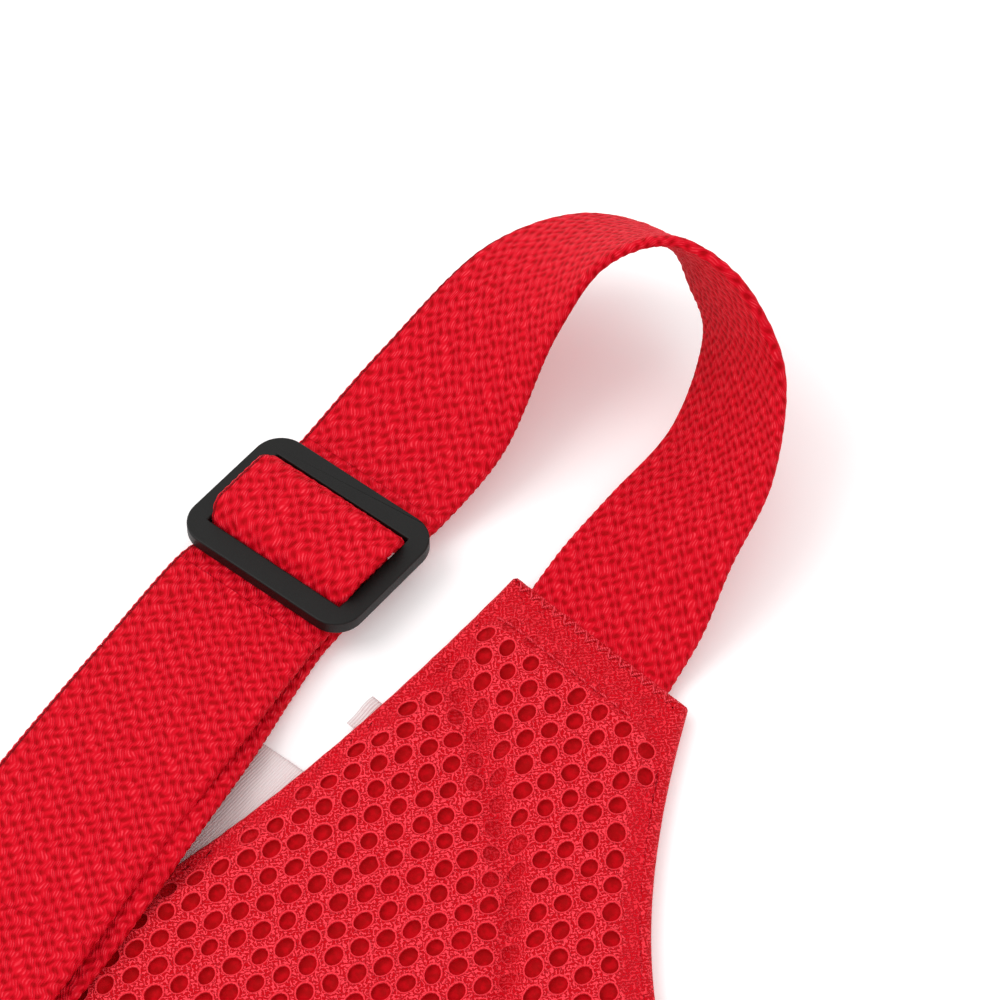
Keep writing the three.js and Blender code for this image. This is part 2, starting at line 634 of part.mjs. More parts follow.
function housingGeometry() {
  const outline = new THREE.Shape([
    flat(MOUTH, -BUCKLE_HALF + 2), flat(MOUTH + 2, -BUCKLE_HALF),
    flat(MOUTH + 5, -BUCKLE_HALF), flat(MOUTH + 9, -BUCKLE_HALF + 5),
    flat(pocketEnd - 7, -BUCKLE_HALF + 5), flat(pocketEnd - 4, -BUCKLE_HALF),
    flat(housingEnd - 3, -BUCKLE_HALF), flat(housingEnd, -BUCKLE_HALF + 3),
    flat(housingEnd, BUCKLE_HALF - 3), flat(housingEnd - 3, BUCKLE_HALF),
    flat(pocketEnd - 4, BUCKLE_HALF), flat(pocketEnd - 7, BUCKLE_HALF - 5),
    flat(MOUTH + 9, BUCKLE_HALF - 5), flat(MOUTH + 5, BUCKLE_HALF),
    flat(MOUTH + 2, BUCKLE_HALF), flat(MOUTH, BUCKLE_HALF - 2),
  ]);
  const body = new THREE.ExtrudeGeometry(outline, { depth: 2 * BUCKLE_HALF_HIGH, bevelEnabled: false });
  body.translate(0, 0, -BUCKLE_HALF_HIGH);
  const across = BUCKLE_HALF + 1;
  const pocket = block([MOUTH - 1, pocketEnd], [-across, across], [-POCKET_HALF_HIGH, POCKET_HALF_HIGH]);
  const slot = block(
    [housingSlot, housingBar], [-SLOT_HALF, SLOT_HALF],
    [-BUCKLE_HALF_HIGH - 1, BUCKLE_HALF_HIGH + 1],
  );
  const trims = [-1, 1].map((side) => {
    const faces = [side * PLUG_HALF_HIGH, side * (BUCKLE_HALF_HIGH + 1)].sort((a, b) => a - b);
    return block([housingBar, housingEnd + 1], [-SLOT_HALF, SLOT_HALF], faces);
  });
  const rails = [-1, 1].map((side) => {
    const place = [side * RAIL[0], side * RAIL[1]].sort((a, b) => a - b);
    return block([MOUTH + 5, pocketEnd + 0.5], place, [-POCKET_HALF_HIGH - 0.5, POCKET_HALF_HIGH + 0.5]);
  });
  const stops = [-1, 1].map((side) => {
    const place = [side * (BUCKLE_HALF - 4), side * (BUCKLE_HALF - 0.5)].sort((a, b) => a - b);
    return block([pocketEnd - 3, pocketEnd + 0.5], place, [-POCKET_HALF_HIGH - 0.5, POCKET_HALF_HIGH + 0.5]);
  });
  return inBuckle(join(cut(body, pocket, slot, ...trims), ...rails, ...stops));
}
pair('buckle_housing', housingGeometry(), blackPlastic);

function plugGeometry() {
  const outline = new THREE.Shape([
    flat(0, -BUCKLE_HALF + 3), flat(3, -BUCKLE_HALF), flat(PLUG_ROOT, -BUCKLE_HALF),
    flat(PLUG_ROOT, -TONGUE_HALF), flat(TONGUE_END - 2, -TONGUE_HALF), flat(TONGUE_END, -TONGUE_HALF + 1.5),
    flat(TONGUE_END, TONGUE_HALF - 1.5), flat(TONGUE_END - 2, TONGUE_HALF), flat(PLUG_ROOT, TONGUE_HALF),
    flat(PLUG_ROOT, BUCKLE_HALF), flat(3, BUCKLE_HALF), flat(0, BUCKLE_HALF - 3),
  ]);
  const body = new THREE.ExtrudeGeometry(outline, { depth: 2 * PLUG_HALF_HIGH, bevelEnabled: false });
  body.translate(0, 0, -PLUG_HALF_HIGH);
  const slot = block(
    [PLUG_BAR, PLUG_BAR + SLOT_LENGTH], [-SLOT_HALF, SLOT_HALF],
    [-PLUG_HALF_HIGH - 1, PLUG_HALF_HIGH + 1],
  );
  const sockets = [-1, 1].map((side) => {
    const socket = new THREE.CylinderGeometry(
      ARM_HALF + GAP, ARM_HALF + GAP, 2 * PLUG_HALF_HIGH + 2, 16,
    );
    socket.rotateX(Math.PI / 2);
    socket.translate(PLUG_ROOT, side * ARM_Q, 0);
    return socket;
  });
  return inBuckle(cut(body, slot, ...sockets));
}
pair('buckle_plug', plugGeometry(), blackPlastic);

// A latch arm turns about a round root in the plug's cross piece; side is +1 towards the head.
function armGeometry(side) {
  const shape = new THREE.Shape();
  shape.absarc(PLUG_ROOT, ARM_Q, ARM_HALF, -Math.PI / 2, Math.PI / 2, true);
  shape.lineTo(PLUG_ROOT + 6, ARM_Q + ARM_HALF);
  shape.lineTo(PLUG_ROOT + 9.5, BUCKLE_HALF - 1);
  shape.lineTo(PLUG_ROOT + 14, BUCKLE_HALF - 0.5);
  shape.lineTo(PLUG_ROOT + 16, BUCKLE_HALF - 4.6);
  shape.lineTo(ARM_END, ARM_Q + 1.5);
  shape.lineTo(ARM_END, ARM_Q - 1);
  shape.lineTo(ARM_END - 2, ARM_Q - ARM_HALF);
  shape.lineTo(PLUG_ROOT, ARM_Q - ARM_HALF);
  const arm = new THREE.ExtrudeGeometry(shape, {
    depth: 2 * PLUG_HALF_HIGH, bevelEnabled: false, curveSegments: 6,
  });
  arm.translate(0, 0, -PLUG_HALF_HIGH);
  if (side < 0) {
    arm.rotateX(Math.PI);
  }
  return inBuckle(arm);
}
pair('latch_arm_upper', armGeometry(1), blackPlastic);
pair('latch_arm_lower', armGeometry(-1), blackPlastic);

// Belts are laid out in side view: run along X, and height. A side belt leaves the side seam,
// turns up and back over the edge, and is looped round the plug's bar.
const barCorner = barWrap * Math.SQRT1_2;
const plugBarRun = PLUG_BAR / 2;
const seamRun = -PANEL_HALF - PLUG_START;
const sideBeltPoints = [
  [seamRun + SEWN_IN, coreMiddle],
  [seamRun, coreMiddle],
  [seamRun - 7, coreMiddle + 1],
  [seamRun - 14, 6.5],
  [seamRun - 16, 11],
  [seamRun - 13.5, 15.5],
  [seamRun - 8, buckleHeight - barWrap + 0.7],
  [plugBarRun - 1.5, buckleHeight - barWrap],
  [plugBarRun + barCorner, buckleHeight - barCorner],
  [plugBarRun + barWrap, buckleHeight],
  [plugBarRun + barCorner, buckleHeight + barCorner],
  [plugBarRun - 1.5, buckleHeight + barWrap],
  [seamRun - 3, buckleHeight + 1.2],
  [seamRun - 7.5, frontBeltLow + BELT + 1.4],
  [seamRun - 12, frontBeltLow + BELT + 1.6],
];
pair('side_belt', band(sideBeltPoints, BELT, BELT_WIDTH, [PLUG_START, BELT_Y], [1, 0]), webbingRed);

const housingBarX = -(PLUG_START + housingEnd - PLUG_BAR / 2);
const frontBeltHalf = [
  [0, frontBeltLow],
  [housingBarX - 20, frontBeltLow],
  [housingBarX - 9, frontBeltLow + 0.2],
  [housingBarX + 1, buckleHeight - barWrap - 0.1],
  [housingBarX + barCorner, buckleHeight - barCorner],
  [housingBarX + barWrap, buckleHeight],
  [housingBarX + barCorner, buckleHeight + barCorner],
  [housingBarX + 1, buckleHeight + barWrap],
  [housingBarX - 8, buckleHeight + 0.4],
  [housingBarX - 15, frontBeltLow + BELT + 0.6],
  [housingBarX - 30, frontBeltLow + BELT + GAP],
];
const frontBeltPoints = [
  ...frontBeltHalf.slice(1).reverse().map(([run, high]) => [-run, high]),
  ...frontBeltHalf,
];
node('front_belt', band(frontBeltPoints, BELT, BELT_WIDTH, [0, BELT_Y], [1, 0]), webbingRed);

// ---------------------------------------------------------------- tether ring at the back of the neck
const tetherY = NECK_Y + TETHER_OUT;
const tetherZ = coreHigh + TETHER_RISE;
const tetherWrap = (TETHER_BAR / 2) * Math.SQRT2 + WRAP_GAP + TETHER_TAPE / 2;
const tetherCorner = tetherWrap * Math.SQRT1_2;
const tapeLow = coreLow + TETHER_TAPE / 2;
const tapeHigh = coreHigh - TETHER_TAPE / 2;
const tapeIn = NECK_Y - SEWN_IN - tetherY;
const tapePoints = [
  [tapeIn, tapeLow],
  [NECK_Y - tetherY, tapeLow],
  [-5, tapeLow - 0.2],
  [-0.6, tetherZ - tetherWrap],
  [tetherCorner, tetherZ - tetherCorner],
  [tetherWrap, tetherZ],
  [tetherCorner, tetherZ + tetherCorner],
  [-0.6, tetherZ + tetherWrap],
  [-6, tapeHigh + 1.2],
  [NECK_Y - tetherY, tapeHigh],
  [tapeIn, tapeHigh],
];
node('haul_loop', band(tapePoints, TETHER_TAPE, TETHER_TAPE_WIDTH, [0, tetherY], [0, 1], 3), webbingRed);

function tetherOutline(halfWidth, low, bow) {
  const shape = new THREE.Path();
  shape.moveTo(-halfWidth, low);
  shape.lineTo(halfWidth, low);
  shape.lineTo(halfWidth, low + 3);
  shape.absellipse(0, low + 3, halfWidth, bow - low - 3, 0, Math.PI, false);
  return shape.getPoints(10);
}
const tetherShape = new THREE.Shape(
  tetherOutline(TETHER_INNER / 2 + TETHER_BAR, -TETHER_BAR / 2, TETHER_REACH + TETHER_BAR / 2),
);
tetherShape.holes.push(new THREE.Path(
  tetherOutline(TETHER_INNER / 2, TETHER_BAR / 2, TETHER_REACH - TETHER_BAR / 2).reverse(),
));
const tether = new THREE.ExtrudeGeometry(tetherShape, { depth: TETHER_BAR, bevelEnabled: false });
tether.translate(0, tetherY, tetherZ - TETHER_BAR / 2);
node('tether_ring', tether, steel);

// ---------------------------------------------------------------- origin
// The origin is the middle of the box's underside, on the table.
const box = new THREE.Box3().setFromObject(vest);
const centre = box.getCenter(new THREE.Vector3());
vest.position.set(-centre.x, -centre.y, -box.min.z);

export default vest;
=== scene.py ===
import json
import math

import bmesh
import bpy
import numpy as np
from mathutils import Vector
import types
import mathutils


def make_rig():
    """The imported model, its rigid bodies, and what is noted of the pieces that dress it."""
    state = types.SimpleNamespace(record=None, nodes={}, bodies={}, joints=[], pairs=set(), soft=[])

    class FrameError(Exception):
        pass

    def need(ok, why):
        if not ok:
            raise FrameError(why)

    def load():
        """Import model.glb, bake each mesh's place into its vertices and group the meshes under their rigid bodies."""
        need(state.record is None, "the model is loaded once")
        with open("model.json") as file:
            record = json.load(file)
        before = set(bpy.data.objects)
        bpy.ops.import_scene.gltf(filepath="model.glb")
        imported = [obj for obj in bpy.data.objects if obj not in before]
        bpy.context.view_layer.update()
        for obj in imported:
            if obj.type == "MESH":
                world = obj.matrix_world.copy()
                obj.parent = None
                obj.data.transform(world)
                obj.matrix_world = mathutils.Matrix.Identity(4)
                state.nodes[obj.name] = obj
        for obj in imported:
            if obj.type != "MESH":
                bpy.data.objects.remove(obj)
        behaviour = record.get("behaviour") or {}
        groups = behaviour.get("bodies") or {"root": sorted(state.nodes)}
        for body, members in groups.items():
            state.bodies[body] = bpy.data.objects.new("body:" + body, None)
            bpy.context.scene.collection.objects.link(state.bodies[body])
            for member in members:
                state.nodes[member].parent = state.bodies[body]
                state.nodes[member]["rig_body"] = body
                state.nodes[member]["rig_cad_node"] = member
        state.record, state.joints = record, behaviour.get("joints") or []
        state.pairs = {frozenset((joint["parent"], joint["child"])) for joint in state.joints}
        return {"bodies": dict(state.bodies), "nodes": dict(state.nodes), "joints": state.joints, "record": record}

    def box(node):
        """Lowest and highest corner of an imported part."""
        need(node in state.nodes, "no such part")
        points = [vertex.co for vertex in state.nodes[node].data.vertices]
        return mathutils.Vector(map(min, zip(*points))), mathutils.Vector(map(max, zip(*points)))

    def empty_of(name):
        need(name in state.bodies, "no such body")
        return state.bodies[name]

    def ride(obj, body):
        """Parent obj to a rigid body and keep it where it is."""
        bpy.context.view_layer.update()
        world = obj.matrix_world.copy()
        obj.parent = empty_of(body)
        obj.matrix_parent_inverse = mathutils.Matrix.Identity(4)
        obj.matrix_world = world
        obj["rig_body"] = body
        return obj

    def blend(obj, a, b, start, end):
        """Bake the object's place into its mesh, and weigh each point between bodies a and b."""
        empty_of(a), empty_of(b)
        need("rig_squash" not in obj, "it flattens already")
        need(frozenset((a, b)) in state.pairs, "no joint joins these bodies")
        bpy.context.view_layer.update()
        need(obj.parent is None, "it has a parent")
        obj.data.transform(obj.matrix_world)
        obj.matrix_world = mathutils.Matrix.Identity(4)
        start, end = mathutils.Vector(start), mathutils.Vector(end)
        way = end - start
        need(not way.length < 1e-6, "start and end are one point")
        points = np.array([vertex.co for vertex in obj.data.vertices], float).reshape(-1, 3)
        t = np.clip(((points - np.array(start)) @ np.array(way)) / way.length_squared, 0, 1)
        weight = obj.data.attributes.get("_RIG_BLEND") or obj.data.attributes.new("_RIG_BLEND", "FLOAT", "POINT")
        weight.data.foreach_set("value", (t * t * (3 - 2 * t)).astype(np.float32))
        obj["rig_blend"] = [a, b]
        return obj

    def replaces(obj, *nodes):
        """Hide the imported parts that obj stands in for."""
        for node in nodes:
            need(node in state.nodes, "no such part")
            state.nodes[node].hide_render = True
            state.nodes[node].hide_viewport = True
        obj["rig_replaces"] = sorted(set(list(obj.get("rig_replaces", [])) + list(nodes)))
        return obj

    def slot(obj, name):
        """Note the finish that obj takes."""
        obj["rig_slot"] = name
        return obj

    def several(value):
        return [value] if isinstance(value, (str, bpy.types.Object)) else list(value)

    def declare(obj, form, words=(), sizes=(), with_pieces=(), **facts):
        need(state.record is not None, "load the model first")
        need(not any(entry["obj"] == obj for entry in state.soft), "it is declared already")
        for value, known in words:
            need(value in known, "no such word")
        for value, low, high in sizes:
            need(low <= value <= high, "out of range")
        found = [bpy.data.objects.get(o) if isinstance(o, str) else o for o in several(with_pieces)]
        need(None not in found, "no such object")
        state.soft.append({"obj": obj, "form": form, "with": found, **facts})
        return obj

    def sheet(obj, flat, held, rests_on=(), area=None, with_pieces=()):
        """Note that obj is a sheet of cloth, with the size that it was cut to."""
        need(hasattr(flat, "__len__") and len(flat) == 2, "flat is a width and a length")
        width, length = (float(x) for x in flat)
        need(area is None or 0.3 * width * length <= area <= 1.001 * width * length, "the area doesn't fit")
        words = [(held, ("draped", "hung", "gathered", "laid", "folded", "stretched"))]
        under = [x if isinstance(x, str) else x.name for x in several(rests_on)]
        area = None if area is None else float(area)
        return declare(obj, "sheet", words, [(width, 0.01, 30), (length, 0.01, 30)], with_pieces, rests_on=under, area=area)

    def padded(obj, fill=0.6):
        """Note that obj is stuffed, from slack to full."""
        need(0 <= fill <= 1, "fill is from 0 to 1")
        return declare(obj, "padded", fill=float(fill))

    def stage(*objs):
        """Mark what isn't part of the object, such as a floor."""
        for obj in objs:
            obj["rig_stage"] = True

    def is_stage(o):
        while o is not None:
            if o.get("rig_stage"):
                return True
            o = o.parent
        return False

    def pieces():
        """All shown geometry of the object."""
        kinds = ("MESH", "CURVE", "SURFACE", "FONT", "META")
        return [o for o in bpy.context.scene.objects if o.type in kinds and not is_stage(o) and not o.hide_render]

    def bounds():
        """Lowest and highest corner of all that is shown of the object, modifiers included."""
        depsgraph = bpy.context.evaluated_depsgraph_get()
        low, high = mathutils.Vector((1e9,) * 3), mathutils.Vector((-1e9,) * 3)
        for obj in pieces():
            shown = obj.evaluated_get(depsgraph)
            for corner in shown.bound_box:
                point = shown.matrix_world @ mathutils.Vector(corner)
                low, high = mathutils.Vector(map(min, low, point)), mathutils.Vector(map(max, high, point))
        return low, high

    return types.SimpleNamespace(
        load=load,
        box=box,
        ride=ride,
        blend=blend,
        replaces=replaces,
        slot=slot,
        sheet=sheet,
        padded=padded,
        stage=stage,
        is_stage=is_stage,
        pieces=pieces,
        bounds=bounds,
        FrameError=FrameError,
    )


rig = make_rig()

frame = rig.load()
CAD_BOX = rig.bounds()

# Lengths are in millimetres in the vest's own modelling frame; mesh_object() turns them into
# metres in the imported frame.
MM = 0.001
SIDES = (("left", -1), ("right", 1))

# ---------------------------------------------------------------- sizes shared with the CAD
GAP = 0.3
PANEL_HALF = 150
HEM_Y = -180
HEM_CORNER = 12
ARMPIT_Y = -15
NECK_Y = 48
TAB_X = 95
TAB_Y = 120
TAB_HALF = 20.3
TAB_RAKE = 1.75
CORE_MIDDLE = 2.2
MESH_HIGH = 6.8
STRAP_HALF = 16
STRAP = 2.0
SEWN_IN = 12
BELT_HALF = 16
BELT = 2.0
BELT_Y = -136
GLIDE_AT = (-53, -16)
GLIDE_HALF_LENGTH = 14
GLIDE_INNER = 9.4
GLIDE_LIFT = 5.6
GLIDE_BAR_HEIGHT = 1.4
GLIDE_BAR_HALF = 2.1
SLIM = 15.1               # half width of the webbing squeezed in a slot, and of its bulge over
PLUMP = 16.0              # the middle bar
RING_AT = (-25, -163)
RING_LIFT = 12.2
RING_DEGREES = 17
RING_TURN = math.radians(RING_DEGREES)
RING_REACH = 7.2
RING_WRAP = 3.83
RING_WIRE = (3.6, 3.4)
RING_TAB = 1.2
RING_TAB_HALF = 14
FRONT_HALF = 141
FRONT_HEM_Y = -176
FRONT_SCOOP_Y = -84
FRONT_TAB_REACH = 8
FRONT_TAB_HALF = 19
FRONT_LOW = 7.1
FRONT_CORE = (10.6, 13.4)
FRONT_TOP = 14.5
PLUG_START = -148
BUCKLE_Z = 20.198
BAR_WRAP = 4.398
HOUSING_BAR_X = 94
TETHER_Y = 61
TETHER_Z = 3.35
TETHER_BAR = 1.3
TETHER_HALF = 11.8
TETHER_REACH = 14
TAPE_HALF = 9.8

SHIFT_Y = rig.box("back_outer_shell")[0].y / MM - HEM_Y


# ---------------------------------------------------------------- mesh helpers
def placed(name, data):
    """A new object in the scene that shows the data."""
    obj = bpy.data.objects.new(name, data)
    bpy.context.scene.collection.objects.link(obj)
    return obj


def mesh_object(name, points, faces, material, uv=None, flip=False, marks=None):
    """A smooth mesh from millimetre points; flip mirrors it to the vest's other side."""
    points = np.array(points, float)
    if flip:
        points[:, 0] *= -1
    points[:, 1] += SHIFT_Y
    data = bpy.data.meshes.new(name)
    order = -1 if flip else 1
    data.from_pydata((points * MM).tolist(), [], [tuple(f)[::order] for f in faces])
    if uv is not None:
        corner = np.empty(len(data.loops), np.int32)
        data.loops.foreach_get("vertex_index", corner)
        layer = data.uv_layers.new(name="UVMap")
        layer.data.foreach_set("uv", np.asarray(uv, np.float32)[corner].ravel())
    for key, values in (marks or {}).items():
        mark = data.attributes.new(key, "FLOAT", "POINT")
        mark.data.foreach_set("value", np.asarray(values, np.float32))
    data.polygons.foreach_set("use_smooth", [True] * len(data.polygons))
    data.materials.append(material)
    return placed(name, data)


def smooth_line(points, steps=16):
    """A centripetal Catmull-Rom line through the points."""
    p = np.asarray(points, float)
    p = np.vstack([2 * p[0] - p[1], p, 2 * p[-1] - p[-2]])
    u = np.linspace(0, 1, steps, endpoint=False)[:, None]
    out = []
    for a, b, c, d in zip(p, p[1:], p[2:], p[3:]):
        before, here, after = (
            max(np.linalg.norm(q - r), 1e-6) ** 0.5 for q, r in ((b, a), (c, b), (d, c))
        )
        leave = ((b - a) / before - (c - a) / (before + here) + (c - b) / here) * here
        arrive = ((c - b) / here - (d - b) / (here + after) + (d - c) / after) * here
        cubic = 2 * b - 2 * c + leave + arrive
        square = -3 * b + 3 * c - 2 * leave - arrive
        out.append(b + leave * u + square * u**2 + cubic * u**3)
    out.append(p[-2:-1])
    return np.vstack(out)


def unit(vectors):
    return vectors / np.maximum(np.linalg.norm(vectors, axis=1), 1e-9)[:, None]


def along(line):
    """Running length at each point of a line."""
    return np.concatenate([[0], np.cumsum(np.linalg.norm(np.diff(line, axis=0), axis=1))])


def resample(line, step, guide=None):
    """The line at even steps of its own length, or of the guide's."""
    length = along(line if guide is None else guide)
    count = max(2, round(length[-1] / step) + 1)
    at = np.linspace(0, length[-1], count)
    return np.stack([np.interp(at, length, line[:, k]) for k in range(line.shape[1])], 1)


def bezier(a, b, c, d, count):
    t = np.linspace(0, 1, count + 1)[:, None]
    a, b, c, d = (np.array(q, float) for q in (a, b, c, d))
    return a * (1 - t) ** 3 + 3 * b * t * (1 - t) ** 2 + 3 * c * t**2 * (1 - t) + d * t**3


def arc(cx, cy, radius, start, end, count):
    t = np.linspace(start, end, count + 1)
    return np.stack([cx + radius * np.cos(t), cy + radius * np.sin(t)], 1)


def both_halves(half):
    left = half[::-1][half[::-1, 0] > 0] * (-1, 1)
    return np.vstack([half, left])


def near(points, line):
    """Distance of each point to a line, and the closest point on it."""
    best = np.full(len(points), 1e9)
    foot = np.zeros((len(points), 2))
    for a, b in zip(line, line[1:]):
        d = b - a
        t = np.clip(((points - a) @ d) / max(d @ d, 1e-9), 0, 1)
        q = a + t[:, None] * d
        r = np.linalg.norm(points - q, axis=1)
        closer = r < best
        best[closer] = r[closer]
        foot[closer] = q[closer]
    return best, foot


def inside(points, outline):
    """Which points lie inside a closed outline."""
    x, y = points[:, 0], points[:, 1]
    hit = np.zeros(len(points), bool)
    for a, b in zip(outline, np.roll(outline, -1, 0)):
        crosses = (a[1] > y) != (b[1] > y)
        if a[1] != b[1]:
            hit ^= crosses & (x < (b[0] - a[0]) * (y - a[1]) / (b[1] - a[1]) + a[0])
    return hit


def closed(outline):
    return np.vstack([outline, outline[:1]])


def inset(outline, distance):
    """A closed counter-clockwise outline moved inwards."""
    before, after = np.roll(outline, 1, 0), np.roll(outline, -1, 0)
    into, out = unit(outline - before), unit(after - outline)
    n1, n2 = np.stack([-into[:, 1], into[:, 0]], 1), np.stack([-out[:, 1], out[:, 0]], 1)
    share = np.maximum(0.5, 1 + (n1 * n2).sum(1))[:, None]
    return outline + (n1 + n2) * (distance / share)


def area_of(outline):
    x, y = outline.T
    return abs((x * np.roll(y, -1) - y * np.roll(x, -1)).sum()) / 2


def ride_all(body, slot, *pieces):
    for piece in pieces:
        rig.ride(piece, body)
        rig.slot(piece, slot)


def grid_faces(rows, columns, around=True):
    """Quads between rows of points; around closes each row on itself."""
    last = columns if around else columns - 1
    faces = []
    for low in range(0, (rows - 1) * columns, columns):
        high = low + columns
        for j in range(last):
            k = (j + 1) % columns
            faces.append((low + j, low + k, high + k, high + j))
    return faces


# ---------------------------------------------------------------- materials
class Shade:
    """Adds nodes to one material and joins them."""

    def __init__(self, name, roughness=0.8, metallic=0.0, sheen=0.0, specular=0.06):
        self.material = bpy.data.materials.new(name)
        self.material.use_nodes = True
        self.tree = self.material.node_tree
        self.shader = self.tree.nodes["Principled BSDF"]
        self.shader.inputs["Roughness"].default_value = roughness
        self.shader.inputs["Metallic"].default_value = metallic
        self.shader.inputs["Sheen Weight"].default_value = sheen
        self.shader.inputs["Specular IOR Level"].default_value = specular

    def node(self, kind, inputs=(), **settings):
        node = self.tree.nodes.new("ShaderNode" + kind)
        for key, value in settings.items():
            setattr(node, key, value)
        for key, value in dict(inputs).items():
            self.put(node.inputs[key], value)
        return node

    def put(self, socket, value):
        if isinstance(value, bpy.types.NodeSocket):
            self.tree.links.new(value, socket)
        else:
            socket.default_value = value

    def math(self, operation, *values):
        return self.node("Math", enumerate(values), operation=operation).outputs[0]

    def times(self, a, b):
        return self.math("MULTIPLY", a, b)

    def plus(self, a, b):
        return self.math("ADD", a, b)

    def rest_of(self, value):
        return self.math("SUBTRACT", 1.0, value)

    def mix(self, share, a, b):
        node = self.node("Mix", {0: share, 6: a, 7: b}, data_type="RGBA")
        return node.outputs[2]

    def ramp(self, value, low, high):
        """value from low to high, as 0 to 1."""
        inputs = {"Value": value, "From Min": low, "From Max": high}
        return self.node("MapRange", inputs, interpolation_type="SMOOTHSTEP").outputs[0]

    def noise(self, vector, scale, detail=2.0):
        inputs = {"Vector": vector, "Scale": scale, "Detail": detail}
        return self.node("TexNoise", inputs).outputs["Fac"]

    def bands(self, direction, vector, scale, distortion=0.0, **inputs):
        """Soft stripes, 0 to 1."""
        inputs.update(Vector=vector, Scale=scale, Distortion=distortion)
        return self.node("TexWave", inputs, bands_direction=direction).outputs["Fac"]

    def place(self):
        """Place on the object, in millimetres."""
        coordinates = self.node("TexCoord").outputs["Object"]
        inputs = {0: coordinates, "Scale": 1 / MM}
        return self.node("VectorMath", inputs, operation="SCALE").outputs[0]

    def stretched(self, vector, scale):
        inputs = {0: vector, 1: scale}
        return self.node("VectorMath", inputs, operation="MULTIPLY").outputs[0]

    def bump(self, height, depth):
        """height is 0 to 1, and stands for depth in millimetres."""
        inputs = {"Height": height, "Distance": depth * MM, "Strength": 1.0}
        normal = self.node("Bump", inputs).outputs[0]
        self.put(self.shader.inputs["Normal"], normal)

    def colour(self, value):
        self.put(self.shader.inputs["Base Color"], value)

    def rough(self, value):
        self.put(self.shader.inputs["Roughness"], value)


def srgb(r, g, b):
    def linear(c):
        c /= 255
        return c / 12.92 if c <= 0.04045 else ((c + 0.055) / 1.055) ** 2.4
    return (linear(r), linear(g), linear(b), 1.0)


PEBBLE = (3.0, 1.35)       # across and along, for two columns and one row of grains
BEAD = 0.9                 # half the spacing of the loops along a selvage
SHEEN_TINT = srgb(255, 90, 105)


def pebbles(u, v):
    """Height, 0 to 1, of the weave: rounded grains, each row half a step over from the last."""
    wave = np.cos(2 * math.pi * u / PEBBLE[0]) * np.cos(math.pi * v / PEBBLE[1])
    return ((1 + wave) / 2) ** 0.7


def uneven(u, v):
    """The same place on the webbing, with the rows and columns of its weave wandering."""
    wavy_u = u + 0.28 * np.sin(1.3 * v + 2 * np.sin(0.5 * u)) + 0.2 * np.sin(0.41 * v + 0.9 * u)
    wavy_v = v + 0.3 * np.sin(1.1 * u + 1.7 * np.sin(0.37 * v)) + 0.25 * np.sin(0.7 * v + 2.3 * u)
    return wavy_u, wavy_v


def webbing_material(name, deep, base, light, pebble=PEBBLE, depth=0.3):
    """Coarse webbing: soft grains of a few slanting fibres, with painted shade in the hollows between grains and
    painted highlights on the fibres over their tops.
    """
    s = Shade(name, roughness=0.6, sheen=0.03)
    s.shader.inputs["Sheen Tint"].default_value = SHEEN_TINT
    uv = s.node("UVMap", uv_map="UVMap").outputs[0]
    split = s.node("SeparateXYZ", {0: uv}).outputs
    wander = s.times(s.math("SUBTRACT", s.noise(uv, 0.8), 0.5), 0.9)
    u = s.times(split[0], 2 * math.pi / pebble[0])
    v = s.times(split[1], math.pi / pebble[1])
    wave = s.times(s.math("COSINE", s.plus(u, wander)), s.math("COSINE", v))
    grain = s.plus(0.5, s.times(wave, 0.5))
    fibre_pitch = 0.17 * pebble[0]
    lean = s.plus(s.times(split[0], 0.94), s.times(split[1], 0.34))
    lean = s.plus(lean, s.times(s.noise(uv, 1.1), 0.22))
    strand = s.math("SINE", s.times(lean, 2 * math.pi / fibre_pitch))
    strand = s.times(s.plus(strand, 1.0), 0.5)
    s.bump(s.plus(s.times(grain, 0.7), s.times(strand, 0.3)), depth)
    patch = s.ramp(s.noise(uv, 0.55, 3.0), 0.3, 0.7)
    # Painted shade: the colour goes from base to deep in the low parts of the grains, and also varies with random
    # darker patches.
    red = s.mix(s.ramp(s.plus(grain, s.times(patch, 0.2)), 0.08, 0.62), deep, base)
    # Painted highlight: the light colour along the slanting fibres on the grain crests.
    lit = s.times(s.math("POWER", strand, 2.0), s.ramp(grain, 0.4, 0.85))
    s.colour(s.mix(s.times(lit, s.plus(0.2, s.times(patch, 0.55))), red, light))
    return s.material


